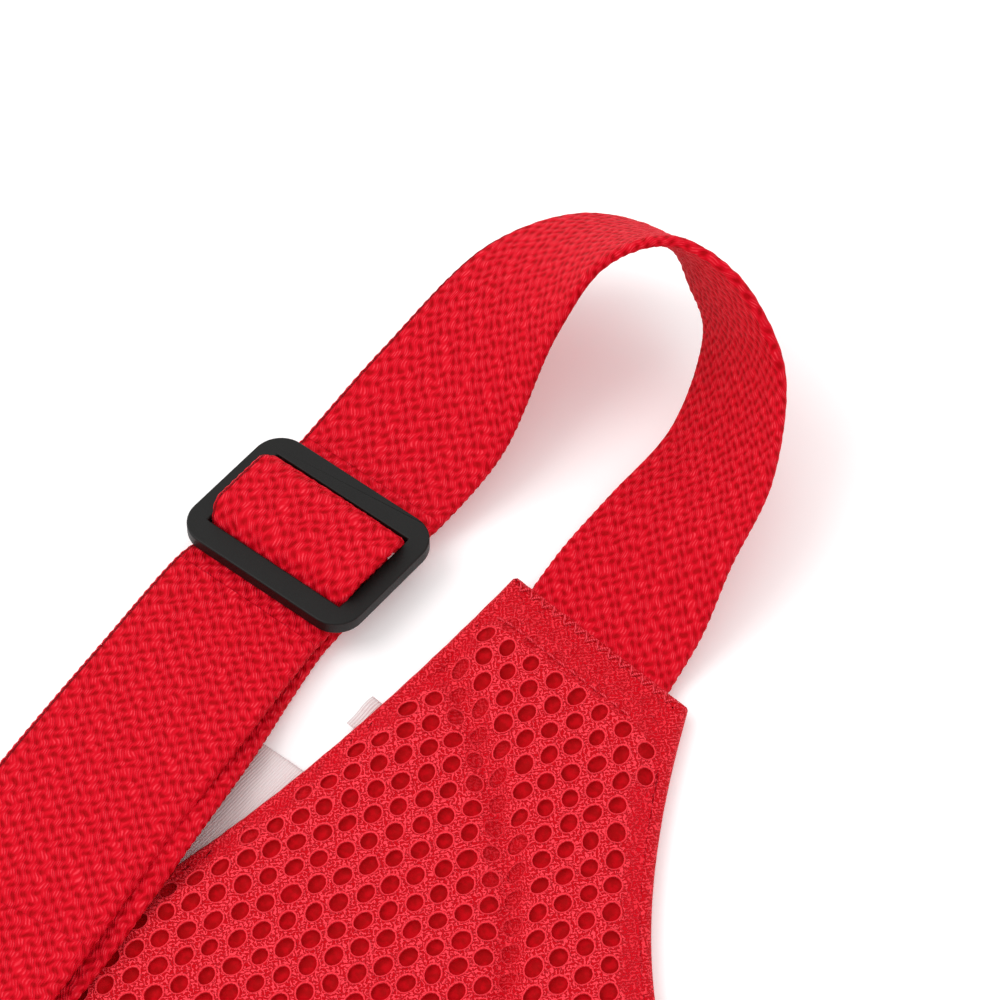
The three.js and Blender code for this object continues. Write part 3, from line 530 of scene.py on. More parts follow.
def knit_material(name, holes):
    """Spacer mesh: looped yarn and smooth rims round the holes, with painted highlights on the yarn loops and the
    rims, and painted shade on the ground between the loops and on the hole floors.
    """
    s = Shade(name, roughness=0.6, sheen=0.03)
    s.shader.inputs["Sheen Tint"].default_value = SHEEN_TINT
    p = s.place()
    tangle = {"Detail": 2.0, "Detail Scale": 2.4}
    loops = [s.bands("DIAGONAL", s.stretched(p, (side, 1.0, 1.0)), 0.62, 7.0, **tangle)
             for side in (1.0, -1.0)]
    patch = s.ramp(s.noise(p, 0.9), 0.42, 0.58)
    wave = s.plus(s.times(loops[0], patch), s.times(loops[1], s.rest_of(patch)))
    yarn = s.ramp(wave, 0.25, 0.8)
    # deep is painted shade on the ground between the loops, floor is painted shade in the holes, and light is the
    # painted highlight on the yarn loops and the rims.
    deep, floor, light = srgb(192, 0, 16), srgb(160, 0, 6), srgb(255, 62, 76)
    if not holes:
        s.colour(s.mix(s.times(yarn, 0.7), deep, light))
        s.bump(yarn, 0.22)
        return s.material
    rim, pit, sewn_flat = (s.node("Attribute", attribute_name=key).outputs["Fac"]
                      for key in ("rim", "pit", "flat"))
    # Where the mesh is sewn flat, the painted yarn highlights are weaker and the painted shade on the ground is
    # lighter.
    shown = s.rest_of(s.times(sewn_flat, 0.55))
    red = s.mix(s.times(yarn, shown), s.mix(sewn_flat, deep, srgb(203, 2, 22)), light)
    # Painted highlight on the raised rims round the holes.
    red = s.mix(s.times(rim, 0.7), red, light)
    # Painted shade on the hole floors, varied at random between two dark reds.
    s.colour(s.mix(pit, red, s.mix(s.ramp(s.noise(p, 0.8), 0.35, 0.7), floor, srgb(188, 1, 16))))
    s.bump(s.times(yarn, s.rest_of(s.math("MAXIMUM", rim, pit))), 0.26)
    return s.material


def cloth_material(name, deep, base):
    """Plain woven fabric, over and under in both directions."""
    s = Shade(name, roughness=0.7, sheen=0.03)
    p = s.place()
    split = s.node("SeparateXYZ", {0: p}).outputs
    thread_pitch = 0.75
    u, v = (s.times(split[k], math.pi / thread_pitch) for k in (0, 1))
    over = s.times(s.math("SINE", u), s.math("SINE", v))
    weave = s.times(s.plus(over, 1.0), 0.5)
    broad = s.ramp(s.noise(p, 0.09, 3.0), 0.3, 0.75)
    fine = s.noise(p, 2.5)
    # Partly painted shade: darker towards deep where the threads dip under each other, where the bump is low. Partly
    # random tone from the broad and fine noise.
    s.colour(s.mix(s.times(s.plus(weave, s.plus(broad, fine)), 0.34), deep, base))
    s.bump(s.plus(weave, s.times(fine, 0.5)), 0.12)
    return s.material


def plastic_material(name):
    """Moulded plastic with a fine matt grain and faint scuffs."""
    s = Shade(name, roughness=0.42, specular=0.25)
    p = s.place()
    grain = s.noise(p, 9.0, 3.0)
    cloud = s.noise(p, 0.25, 3.0)
    scuff = s.ramp(s.noise(s.stretched(p, (0.25, 4.0, 1.0)), 1.2, 4.0), 0.62, 0.8)
    tone = s.plus(s.times(cloud, 0.5), s.times(scuff, 0.35))
    s.colour(s.mix(tone, srgb(9, 9, 8), srgb(25, 24, 22)))
    s.rough(s.plus(0.36, s.plus(s.times(grain, 0.14), s.times(cloud, 0.1))))
    s.bump(grain, 0.035)
    return s.material


def steel_material(name):
    s = Shade(name, roughness=0.28, metallic=1.0)
    p = s.place()
    line = s.noise(s.stretched(p, (1.0, 1.0, 8.0)), 2.0, 4.0)
    s.colour(s.mix(line, srgb(168, 170, 173), srgb(222, 223, 225)))
    s.rough(s.plus(0.2, s.times(line, 0.22)))
    s.bump(line, 0.02)
    return s.material


def satin_material(name):
    """White satin tape: fine ribs across it and a soft shine."""
    s = Shade(name, roughness=0.38, sheen=0.08, specular=0.4)
    p = s.place()
    rib = s.bands("X", p, 0.62, 0.5)
    fine = s.bands("Y", p, 1.2)
    tone = s.plus(s.times(rib, 0.5), s.times(fine, 0.5))
    # Painted shade: darker in the grooves between the ribs and the fine stripes, where the bump is low.
    s.colour(s.mix(tone, srgb(212, 198, 198), srgb(240, 231, 230)))
    s.bump(s.plus(rib, s.times(fine, 0.3)), 0.06)
    return s.material


def foam_material(name):
    s = Shade(name, roughness=0.95)
    p = s.place()
    cells = s.node("TexVoronoi", {"Vector": p, "Scale": 1.6}).outputs["Distance"]
    # Painted shade: darker in the pits at the middle of each cell, where the bump is low.
    s.colour(s.mix(cells, srgb(214, 206, 190), srgb(240, 235, 224)))
    s.bump(cells, 0.2)
    return s.material


def thread_material(name, base, light):
    """Twisted sewing thread."""
    s = Shade(name, roughness=0.5, sheen=0.03)
    twist = s.bands("DIAGONAL", s.place(), 1.1, 1.0)
    # Painted highlight: the light colour along the crests of the twist, where the bump rises.
    s.colour(s.mix(twist, base, light))
    s.bump(twist, 0.06)
    return s.material


# In the webbing and the tape, the first colour is painted shade in the grain hollows and also the darker random
# patches. The last colour is the painted highlight on the fibres.
WEBBING = webbing_material("webbing_red", srgb(166, 0, 10), srgb(208, 6, 30), srgb(250, 70, 84))
TAPE = webbing_material(
    "tape_red", srgb(160, 0, 14), srgb(198, 6, 30), srgb(230, 58, 72), pebble=(1.3, 0.6), depth=0.14,
)
KNIT = knit_material("spacer_mesh_red", holes=True)
KNIT_EDGE = knit_material("spacer_mesh_edge", holes=False)
# The first colour of the cloth is painted shade between the threads, and also darker random tone.
CLOTH = cloth_material("shell_fabric_red", srgb(154, 0, 16), srgb(198, 8, 32))
PLASTIC = plastic_material("black_plastic")
STEEL = steel_material("steel")
SATIN = satin_material("satin_white")
FOAM = foam_material("foam")
# The second colour of the thread is the painted highlight on its twist.
THREAD = thread_material("thread_red", srgb(192, 5, 27), srgb(244, 76, 90))


# ---------------------------------------------------------------- webbing
def webbing(name, outer, inner, thickness, material, flip=False, start=0.0, grain=0.42, relief=0.26):
    """Woven webbing between two selvages, given at matching points, with rounded woven edges."""
    across = inner - outer
    width = np.linalg.norm(across, axis=1)
    across /= width[:, None]
    middle = (outer + inner) / 2
    ahead = np.gradient(middle, axis=0)
    normal = unit(np.cross(across, ahead))
    half_width, radius = width / 2, thickness / 2
    flat = float(width.max()) / 2 - radius
    count = max(4, int(2 * flat / grain))
    level = np.linspace(-1, 1, count)
    bend = np.linspace(math.pi / 2, -math.pi / 2, 7)[1:-1]
    # Each point of the section: place across the face, place up, and reach into the rounded edge.
    top = np.stack([level, np.ones(count), np.zeros(count)], 1)
    right = np.stack([np.ones(5), np.sin(bend), np.cos(bend)], 1)
    bottom = top[::-1] * (1, -1, 1)
    left = right[::-1] * (-1, 1, -1)
    ring = np.vstack([top, right, bottom, left])
    run = along(middle) + start
    turn = radius * (math.pi / 2 - bend)
    far = flat * (2 - level[::-1]) + math.pi * radius
    u = np.concatenate([level * flat, flat + turn, far, -flat - turn[::-1]])
    grid_u, grid_v = uneven(*np.meshgrid(u, run))
    side_weight = np.abs(ring[:, 2])
    lump = pebbles(grid_u, grid_v) - 0.5
    edge_lump = 0.11 * np.cos(math.pi * run[:, None] / BEAD) * side_weight
    crown = 0.16 * (1 - ring[:, 0] ** 2)
    sideways = ring[:, 0] * (half_width[:, None] - radius) + ring[:, 2] * (radius + edge_lump)
    rise = ring[:, 1] * (radius + (crown + relief * lump) * (1 - side_weight))
    points = middle[:, None] + across[:, None] * sideways[..., None] + normal[:, None] * rise[..., None]
    columns = len(ring)
    total = len(run) * columns
    faces = grid_faces(len(run), columns)
    faces.append(tuple(range(columns)))
    faces.append(tuple(range(total - columns, total))[::-1])
    uv = np.stack([grid_u.ravel(), grid_v.ravel()], 1)
    return mesh_object(name, points.reshape(-1, 3), faces, material, uv, flip)


def band_lines(side_view, width, start, ahead, spacing):
    """Both selvages of a level band of tape, from its side view."""
    line = resample(smooth_line(side_view), spacing)
    run = np.array(ahead, float) / np.linalg.norm(ahead)
    across = np.array([run[1], -run[0]])
    middle = np.array(start, float) + line[:, :1] * run
    outer = np.column_stack([middle - across * width / 2, line[:, 1]])
    inner = np.column_stack([middle + across * width / 2, line[:, 1]])
    return outer, inner


def half_turn(x, z, wrap):
    """A band's side view on its way up round a bar; with wrap below zero, down its other side."""
    corner = wrap * math.sqrt(0.5)
    return [(x + corner, z - corner), (x + wrap, z), (x + corner, z + corner)]


def band(node, side_view, half_width, start, ahead, thickness, material=WEBBING,
         flip=False, spacing=0.42, **weave):
    """A level band of webbing that stands for a CAD piece."""
    outer, inner = band_lines(side_view, 2 * half_width, start, ahead, spacing)
    piece = webbing(f"{node}_look", outer, inner, thickness, material, flip, **weave)
    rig.replaces(piece, node)
    return piece


def level(x, y, z, degrees, half_width):
    angle = math.radians(degrees)
    side = np.array([math.cos(angle), math.sin(angle), 0]) * half_width
    at = np.array([x, y, z], float)
    return at - side, at + side


def rolled_level(x, y, z, degrees, drop):
    """A level station whose inner selvage has sunk and whose outer one has lifted."""
    outer, inner = level(x, y, z, degrees, STRAP_HALF)
    return outer + (0, 0, drop), inner - (0, 0, drop)


UNDER_BAR = GLIDE_LIFT - GAP - STRAP / 2
WRAP_TOP = GLIDE_LIFT + GLIDE_BAR_HEIGHT + GAP + STRAP / 2
OVER_TOP = WRAP_TOP + STRAP + GAP
WRAP_REACH = GLIDE_BAR_HALF + GAP + STRAP / 2 + 0.2
RING_AHEAD = np.array([math.sin(RING_TURN), -math.cos(RING_TURN)])
FAR_BAR = np.array(RING_AT) - RING_AHEAD * RING_REACH
NEAR_BAR = np.array(RING_AT) + RING_AHEAD * RING_REACH


def at_glide(rows):
    return [level(GLIDE_AT[0], GLIDE_AT[1] + y, z, 0, half) for y, z, half in rows]


def round_far_bar(run, high):
    x, y = FAR_BAR + RING_AHEAD * run
    return level(x, y, RING_LIFT + high, RING_DEGREES, STRAP_HALF - 0.5)


# Stations of the left strap, measured from the middle of its tab's top edge: the outer and the
# inner selvage of the loop, then middles, heights, turns and half widths down to the ring and back.
LOOP = [(np.array(a, float), np.array(b, float)) for a, b in (
    ((-16, -12, 2.2), (16, -12, 2.2)),
    ((-16, -4, 2.2), (16, -4, 2.2)),
    ((-16.7, 1.8, 2.4), (15.2, 0.9, 2.5)),
    ((-17.8, 12.3, 2.9), (14.2, 10.4, 6.1)),
    ((-18.2, 26, 3.1), (12, 21, 13)),
    ((-18.5, 44.9, 3.8), (8.9, 36.4, 18.5)),
    ((-24.2, 61.8, 6.4), (0.6, 51.2, 24)),
    ((-26.2, 64.7, 11.1), (-3.8, 53.6, 31.4)),
    ((-30.5, 66.2, 16.1), (-14.1, 54.5, 41.2)),
    ((-37.5, 69.6, 19), (-25.6, 52.6, 43.6)),
    ((-55.3, 66.8, 16.8), (-36.6, 47.4, 34.5)),
    ((-66.8, 53.8, 12.6), (-40, 38.4, 21.8)),
    ((-68.1, 22.3, 10), (-36.2, 18.3, 9.6)),
)]
HALF_THROUGH = (
    (GLIDE_HALF_LENGTH - 1, UNDER_BAR, STRAP_HALF - 0.3),
    (GLIDE_INNER + 0.6, UNDER_BAR, SLIM),
    (GLIDE_INNER - 0.9, UNDER_BAR + 0.6, SLIM),
    (GLIDE_INNER - 1.2, UNDER_BAR + 2.8, SLIM),
    (WRAP_REACH + 2.4, OVER_TOP - 0.4, PLUMP),
    (2.4, OVER_TOP, PLUMP),
)
THROUGH_GLIDE = at_glide((
    (GLIDE_HALF_LENGTH + 4, UNDER_BAR + 0.1, STRAP_HALF),
    *HALF_THROUGH,
    *((-y, z, half) for y, z, half in HALF_THROUGH[::-1]),
    (-GLIDE_HALF_LENGTH - 3, UNDER_BAR + 0.2, STRAP_HALF),
))
TOP_RUN = [rolled_level(x, y, z, turn, drop) for x, y, z, turn, drop in (
    (-49.3, -55, 7.2, 5, 0.4), (-43.9, -85, 10.6, 9, 1.2), (-39.2, -108, 12.4, 12, 1.4),
    (-34.8, -130, 14.2, 15, 0.6),
)]
DIAGONAL = RING_WRAP * math.sqrt(0.5)
WRAP_RING = [round_far_bar(run, high) for run, high in (
    (-8, RING_WRAP - 0.3), (-1, RING_WRAP), (DIAGONAL, DIAGONAL), (RING_WRAP, 0),
    (DIAGONAL, -DIAGONAL), (-1, -RING_WRAP), (-9, -RING_WRAP),
)]
RETURN_RUN = [level(x, y, z, turn, STRAP_HALF) for x, y, z, turn in (
    (-34.4, -130, 8.2, 15), (-36.8, -108, 8.2, 12), (-41.5, -80, 8.1, 9),
    (-46.5, -58, 4.6, 5), (-50.8, -42, 2.0, 2),
)]
WRAP_MIDDLE = at_glide((
    (-GLIDE_HALF_LENGTH - 1, 1.3, STRAP_HALF),
    (-GLIDE_INNER - 0.5, 1.4, STRAP_HALF - 0.3),
    (-WRAP_REACH - 1.4, 2.3, SLIM),
    (-2.1, UNDER_BAR - 0.2, SLIM),
    (1.0, UNDER_BAR, SLIM),
    (WRAP_REACH - 0.8, UNDER_BAR + 0.25, SLIM),
    (WRAP_REACH, UNDER_BAR + 1.2, SLIM),
    (WRAP_REACH, WRAP_TOP - 1.2, SLIM),
    (WRAP_REACH - 0.8, WRAP_TOP - 0.25, SLIM),
    (1.0, WRAP_TOP, SLIM),
    (-2.1, WRAP_TOP, SLIM),
))


def world(x, y, z, side):
    """A point given from the left tab's top edge, as a place in the frame on that side."""
    return ((x - TAB_X) * -side * MM, (y + TAB_Y + SHIFT_Y) * MM, z * MM)


def strap_pieces(side_name, side):
    """One strap in five lengths, cut where the body that carries it changes."""
    groups = (LOOP, THROUGH_GLIDE, TOP_RUN, WRAP_RING, RETURN_RUN, WRAP_MIDDLE)
    stations = [station for group in groups for station in group]
    steps = 24
    outer, inner = (smooth_line([station[k] for station in stations], steps) for k in (0, 1))
    middle = (outer + inner) / 2
    length = along(middle)

    def length_at(group, index):
        before = sum(len(g) for g in groups[:group])
        return length[(before + index) * steps]

    # Into the tri-glide, out of it, halfway to the ring, and just past the ring on the way back.
    cuts = [0, length_at(1, 0), length_at(1, 13), length_at(2, 2), length_at(4, 1), length[-1]]
    fine_outer, fine_inner = (resample(line, 0.42, middle) for line in (outer, inner))
    run = np.linspace(0, length[-1], len(fine_outer))
    pieces = []
    for i, (low, high) in enumerate(zip(cuts, cuts[1:])):
        first = int(np.searchsorted(run, low))
        last = int(np.searchsorted(run, high))
        part = slice(first, min(last + 1, len(run)))
        a, b = (line[part] + (-TAB_X, TAB_Y, 0) for line in (fine_outer, fine_inner))
        pieces.append(webbing(f"strap_{side_name}_{i + 1}", a, b, STRAP, WEBBING, side > 0, run[first]))
    glide, ring = f"tri_glide_{side_name}", f"strap_ring_{side_name}"
    gx, gy = GLIDE_AT
    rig.blend(pieces[0], "vest", glide, world(-30, 8, 0, side), world(gx, gy + 24, 0, side))
    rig.ride(pieces[1], glide)
    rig.blend(pieces[2], glide, "vest", world(gx, gy - 20, 0, side), world(-41, -106, 0, side))
    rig.blend(pieces[3], "vest", ring, world(-36, -118, 0, side), world(-31, -146, 0, side))
    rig.blend(pieces[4], "vest", glide, world(-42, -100, 0, side), world(gx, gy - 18, 0, side))
    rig.replaces(pieces[0], f"shoulder_strap_{side_name}")
    for piece in pieces:
        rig.slot(piece, "webbing")


for name, side in SIDES:
    strap_pieces(name, side)


# ---------------------------------------------------------------- back panel
def neck_curve(count):
    inner = (TAB_X - TAB_HALF, TAB_Y - TAB_RAKE)
    return bezier((0, NECK_Y), (TAB_X * 0.42, NECK_Y), (inner[0] - 12, inner[1] - 27), inner, count)


def armhole_curve(count):
    x, y = TAB_X + TAB_HALF, TAB_Y + TAB_RAKE
    return bezier((x, y), (x, y - 44), (x + 3, ARMPIT_Y + 25), (PANEL_HALF, ARMPIT_Y), count)


def hem_corner(half, hem, count=8):
    return arc(half - HEM_CORNER, hem + HEM_CORNER, HEM_CORNER, 0, -math.pi / 2, count)


BACK_OUTLINE = both_halves(np.vstack([
    neck_curve(60), armhole_curve(60), hem_corner(PANEL_HALF, HEM_Y), [(0, HEM_Y)],
]))[::-1]
VALLEY = both_halves(np.array([
    (0, 15), (40, 30), (60, 50), (73, 67.5), (86, 80), (100, 91), (118, 101),
], float))
VALLEY = smooth_line(VALLEY[np.argsort(VALLEY[:, 0])], 8)
TAB_LEFT = (
    np.array([-TAB_X - TAB_HALF, TAB_Y + TAB_RAKE]), np.array([TAB_HALF - TAB_X, TAB_Y - TAB_RAKE]),
)
TAB_RIGHT = tuple(p * (-1, 1) for p in TAB_LEFT)
ROLL = 1.9                # width of the rolled edge
TAB_SEAM = 9.5            # from a tab's top edge to the row of stitches below it


def step(value, low, high):
    t = np.clip((value - low) / (high - low), 0, 1)
    return t * t * (3 - 2 * t)


def tab_depth(points):
    """Distance below the nearer tab's top edge."""
    below = np.full(len(points), 1e9)
    for a, b in (TAB_LEFT, TAB_RIGHT):
        d = (b - a) / np.linalg.norm(b - a)
        ahead = (points - a) @ d
        down = np.abs((points - a) @ np.array([d[1], -d[0]]))
        reach = (ahead > -6) & (ahead < np.linalg.norm(b - a) + 6)
        below = np.where(reach & (points[:, 1] > 90), np.minimum(below, down), below)
    return below


def back_height(points):
    """Top of the spacer mesh: full in the pads, drawn down at the seams."""
    edge, _ = near(points, closed(BACK_OUTLINE))
    fold, _ = near(points, VALLEY)
    tab = tab_depth(points)
    x, y = points.T
    z = MESH_HIGH - 0.1 - 2.2 * (1 - step(edge, 1.5, 7.5))
    z -= 2.0 * np.exp(-((fold / 2.3) ** 2)) * step(edge, 1.0, 6.0) + 0.5 * np.exp(-((fold / 8) ** 2))
    z -= 1.1 * (1 - step(tab, 7, 12)) * step(edge, 0.5, 6.0)
    z -= 0.45 * np.exp(-(((tab - TAB_SEAM) / 1.2) ** 2))
    z += 0.12 * np.sin(0.21 * x + 0.5 * np.sin(0.13 * y)) * np.sin(0.17 * y + 1.3)
    return np.minimum(z, MESH_HIGH + 0.1)


def tiles(outline, pitch, row, tilt, per_side):
    """Six-sided cells over an outline: their middles, and rings of points held inside it."""
    low, high = outline.min(0) - 2 * pitch, outline.max(0) + 2 * pitch
    middle, reach = (low + high) / 2, np.linalg.norm(high - low) / 2
    lines = []
    for k in range(-int(reach / row) - 1, int(reach / row) + 2):
        across = np.arange(-int(reach / pitch) - 1, int(reach / pitch) + 2) * pitch
        lines.append(np.column_stack([across + (k % 2) * pitch / 2, np.full(len(across), k * row)]))
    cos, sin = math.cos(tilt), math.sin(tilt)
    spin = np.array([[cos, sin], [-sin, cos]])
    centres = np.vstack(lines)
    tall = pitch**2 / (8 * row)
    corners = np.array([
        (pitch / 2, row / 2 - tall), (0, row / 2 + tall), (-pitch / 2, row / 2 - tall),
        (-pitch / 2, tall - row / 2), (0, -row / 2 - tall), (pitch / 2, tall - row / 2),
    ])
    share = np.arange(per_side)[None, :, None] / per_side
    ring = (corners[:, None] * (1 - share) + np.roll(corners, -1, 0)[:, None] * share).reshape(-1, 2)
    centres, ring = centres @ spin + middle, ring @ spin
    centres = centres[((centres > low) & (centres < high)).all(1)]
    rings = centres[:, None] + ring
    within = inside(rings.reshape(-1, 2), outline).reshape(len(centres), -1)
    keep = within.any(1)
    centres, rings, loose = centres[keep], rings[keep], ~within[keep]
    rings[loose] = near(rings[loose], closed(outline))[1]
    return centres, rings


def joined(points, faces, *marks):
    """The same faces with points that coincide made one."""
    key = np.round(points * 50).astype(np.int64)
    _, first, place = np.unique(key, axis=0, return_index=True, return_inverse=True)
    place = place.ravel()
    faces = [tuple(dict.fromkeys(face)) for face in place[faces].tolist()]
    return points[first], [face for face in faces if len(face) > 2], [mark[first] for mark in marks]


def sheet_surface(outline, height, pitch, upward=True):
    """A plain surface over an outline, in small six-sided cells."""
    _, rings = tiles(outline, pitch, pitch * 0.87, 0.1, 1)
    middle = rings.mean(1, keepdims=True)
    flat = np.concatenate([rings, middle], 1).reshape(-1, 2)
    points = np.column_stack([flat, height(flat)])
    k = np.arange(6)
    fan = np.stack([k, (k + 1) % 6, np.full(6, 6)], 1)
    faces = (np.arange(len(rings))[:, None, None] * 7 + fan).reshape(-1, 3)
    if not upward:
        faces = faces[:, ::-1]
    points, faces, _ = joined(points, faces)
    return points, faces


HOLE = (1.92, 1.45)        # half length and half width of a hole
HOLE_PITCH = 4.55          # between holes in a row, and between rows
HOLE_ROW = 4.65
HOLE_TILT = math.radians(61)
HOLE_LEAN = math.radians(100)
HOLE_DEPTH = 0.8
# Rings of a cell from its border to its floor: share of the way from the border to the hole's
# rim, distance outwards from the rim, height, and how much rim and pit each ring is.
CELL = (
    (0.0, 0.0, 0.0, 0, 0), (0.6, 0.0, -0.04, 0, 0), (1.0, 0.3, 0.06, 0.1, 0),
    (1.0, 0.15, 0.13, 1, 0), (1.0, 0.0, 0.0, 0.8, 0), (1.0, -0.1, -0.35, 0, 1),
    (1.0, -0.2, -0.75, 0, 1),
)


def hole_panel(outline, height, openness, rng):
    """Spacer mesh: each cell has a raised rim, a wall and a floor, fainter where it is sewn down."""
    centres, rings = tiles(outline, HOLE_PITCH, HOLE_ROW, HOLE_TILT, 3)
    count = rings.shape[1]
    roomy = inside(centres, outline) & (near(centres, closed(outline))[0] > HOLE[0] + 0.3)
    opened = np.where(roomy, openness(centres), 0.0)
    middles = np.where(roomy[:, None], centres + rng.normal(0, 0.1, centres.shape), rings.mean(1))
    offset = rings - middles[:, None]
    angle = np.arctan2(offset[..., 1], offset[..., 0])
    lean = HOLE_LEAN + rng.normal(0, 0.14, len(middles))[:, None]
    size = 1 + rng.normal(0, 0.05, (2, len(middles), 1))
    a, b = HOLE[0] * size[0], HOLE[1] * size[1]
    rim = a * b / np.sqrt((b * np.cos(angle - lean)) ** 2 + (a * np.sin(angle - lean)) ** 2)
    border = np.linalg.norm(offset, axis=2)
    unit = offset / np.maximum(border, 1e-6)[..., None]
    rim = np.where(roomy[:, None], np.minimum(rim, border - 0.4), border * 0.5)
    opened = opened[:, None]
    layers, rims, pits = [], [], []
    for k, (share, out, high, is_rim, is_pit) in enumerate(CELL):
        radius = border + (rim + out - border) * share
        radius = np.where(roomy[:, None], radius, border * (1 - 0.14 * k))
        flat = middles[:, None] + unit * radius[..., None]
        z = height(flat.reshape(-1, 2)).reshape(radius.shape) + high * opened
        layers.append(np.concatenate([flat, z[..., None]], 2))
        rims.append(np.broadcast_to(opened * is_rim, radius.shape))
        pits.append(np.broadcast_to(opened * is_pit, radius.shape))
    floor = height(middles) - HOLE_DEPTH * opened[:, 0]
    points = np.concatenate([*layers, np.column_stack([middles, floor])[:, None]], 1)
    total = points.shape[1]
    rims = np.concatenate([*rims, np.zeros((len(middles), 1))], 1)
    pits = np.concatenate([*pits, opened], 1)
    k, last = np.arange(count), (len(CELL) - 1) * count
    after = (k + 1) % count
    quads = [np.stack([low + k, low + after, low + count + after, low + count + k], 1)
             for low in range(0, last, count)]
    middle = np.full(count, total - 1)
    cell_faces = np.concatenate([*quads, np.stack([last + k, last + after, middle, middle], 1)])
    faces = (np.arange(len(middles))[:, None, None] * total + cell_faces).reshape(-1, 4)
    sewn_flat = np.broadcast_to(1 - opened, (len(middles), total))
    return points, faces, rims, pits, sewn_flat, middles


def build_back_mesh():
    """The visible spacer mesh in a left and a right piece, and a plain one at the hem."""
    outline = inset(BACK_OUTLINE, ROLL)
    rng = np.random.default_rng(7)

    def openness(c):
        edge = near(c, closed(outline))[0]
        fold = near(c, VALLEY)[0]
        free = step(edge + rng.normal(0, 0.7, len(c)), 0.6, 3.2)
        free = free * (0.3 + 0.7 * step(fold, 0.8, 4.0))
        return 0.15 + 0.85 * free * step(tab_depth(c), TAB_SEAM - 1.0, TAB_SEAM + 2.5)

    points, faces, rims, pits, sewn_flat, middles = hole_panel(outline, back_height, openness, rng)
    per_cell = len(faces) // len(middles)
    hidden = middles[:, 1] < FRONT_SCOOP_Y - 22
    pieces = []
    for name, keep in (
        ("back_mesh_left", ~hidden & (middles[:, 0] < 0)),
        ("back_mesh_right", ~hidden & (middles[:, 0] >= 0)),
    ):
        own = faces[: per_cell * keep.sum()]
        marks = (mark[keep].ravel() for mark in (rims, pits, sewn_flat))
        p, f, marks = joined(points[keep].reshape(-1, 3), own, *marks)
        pieces.append(mesh_object(name, p, f, KNIT, marks=dict(zip(("rim", "pit", "flat"), marks))))
    low = FRONT_SCOOP_Y - 20
    below = outline[:, 1] < low
    first = np.flatnonzero(below & ~np.roll(below, 1))[0]
    plain = np.roll(outline, -first, 0)[np.roll(below, -first)]
    p, f = sheet_surface(plain, lambda q: back_height(q) - 0.4, 3.5)
    pieces.append(mesh_object("back_mesh_lower", p, f, KNIT_EDGE))
    return pieces


def rolled_edge(name, outline, profile, material, spacing=1.3):
    """A strip that runs right round an outline; profile gives inset and height across it."""
    path = resample(closed(outline), spacing)[:-1]
    rows = []
    length = along(closed(path))[:-1]
    for distance, z in profile:
        line = inset(path, distance)
        wave = 0.07 * np.sin(length * 0.9) + 0.05 * np.sin(length * 2.3 + distance)
        rows.append(np.column_stack([line, z + wave]))
    points = np.vstack(rows)
    faces = grid_faces(len(rows), len(path))
    width = along(np.array(profile, float))
    uv = np.stack([np.repeat(width, len(path)), np.tile(length, len(rows))], 1)
    return mesh_object(name, points, faces, material, uv)


def stitches(name, slot, rows, radius):
    """Sewn thread: a short bowed length of it between each pair of points of the rows."""
    starts, ends = (np.vstack([row[k] for row in rows]) for k in (0, 1))
    t = np.array([0, 0.12, 0.5, 0.88, 1.0])
    fat = np.array([0.25, 0.85, 1.0, 0.85, 0.25]) * radius
    lift = np.array([-0.35, 0.4, 1.0, 0.4, -0.35]) * 0.22
    run = unit(ends - starts)
    side = unit(np.cross(run, (0, 0, 1.0)))
    up = np.cross(side, run)
    angle = np.linspace(0, 2 * math.pi, 6, endpoint=False)
    round_it = np.cos(angle)[:, None, None] * side + np.sin(angle)[:, None, None] * up
    sections = []
    for share, f, high in zip(t, fat, lift):
        at = starts + (ends - starts) * share + up * high
        sections.append(at[None] + round_it * f)
    points = np.stack(sections).transpose(2, 0, 1, 3)
    one = np.array(grid_faces(len(t), len(angle)))
    faces = (np.arange(len(starts))[:, None, None] * len(t) * len(angle) + one).reshape(-1, 4)
    ride_all("vest", slot, mesh_object(name, points.reshape(-1, 3), faces.tolist(), THREAD))


def running_stitch(line, pitch):
    """Starts and ends of the stitches along a line."""
    path = resample(line, pitch)
    return path[:-1], path[:-1] + (path[1:] - path[:-1]) * 0.78


def zigzag_stitch(line, pitch, swing):
    path = resample(line, pitch)
    ahead = np.gradient(path, axis=0)
    side = unit(np.cross(ahead, (0, 0, 1.0)))
    turn = np.where(np.arange(len(path)) % 2, 1, -1)[:, None] * swing
    path = path + side * turn
    return path[:-1], path[1:]


def on_height(flat_line, height, lift=0.12):
    return np.column_stack([flat_line, height(flat_line) + lift])


back_pieces = build_back_mesh()
back_edge = rolled_edge("back_edge", BACK_OUTLINE, (
    (1.4, 0.15), (0.5, 0.5), (0.0, 1.3), (-0.1, 2.4), (0.1, 3.4), (0.7, 4.1), (1.5, 4.45),
    (2.2, 4.45), (2.8, 4.1), (3.2, 3.6),
), KNIT_EDGE)
ride_all("vest", "spacer_mesh", *back_pieces, back_edge)
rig.replaces(back_pieces[0], "back_inner_mesh")



def under_height(points):
    return 0.35 + 0.2 * np.sin(points[:, 0] * 0.11) * np.sin(points[:, 1] * 0.09)


under_points, under_faces = sheet_surface(inset(BACK_OUTLINE, 0.8), under_height, 5.0, upward=False)
back_shell = mesh_object("back_shell", under_points, under_faces, CLOTH)
back_size = (BACK_OUTLINE.max(0) - BACK_OUTLINE.min(0)) * MM
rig.sheet(back_shell, flat=tuple(back_size), held="laid", area=area_of(BACK_OUTLINE) * MM**2)
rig.replaces(back_shell, "back_outer_shell")
ride_all("vest", "shell_fabric", back_shell)

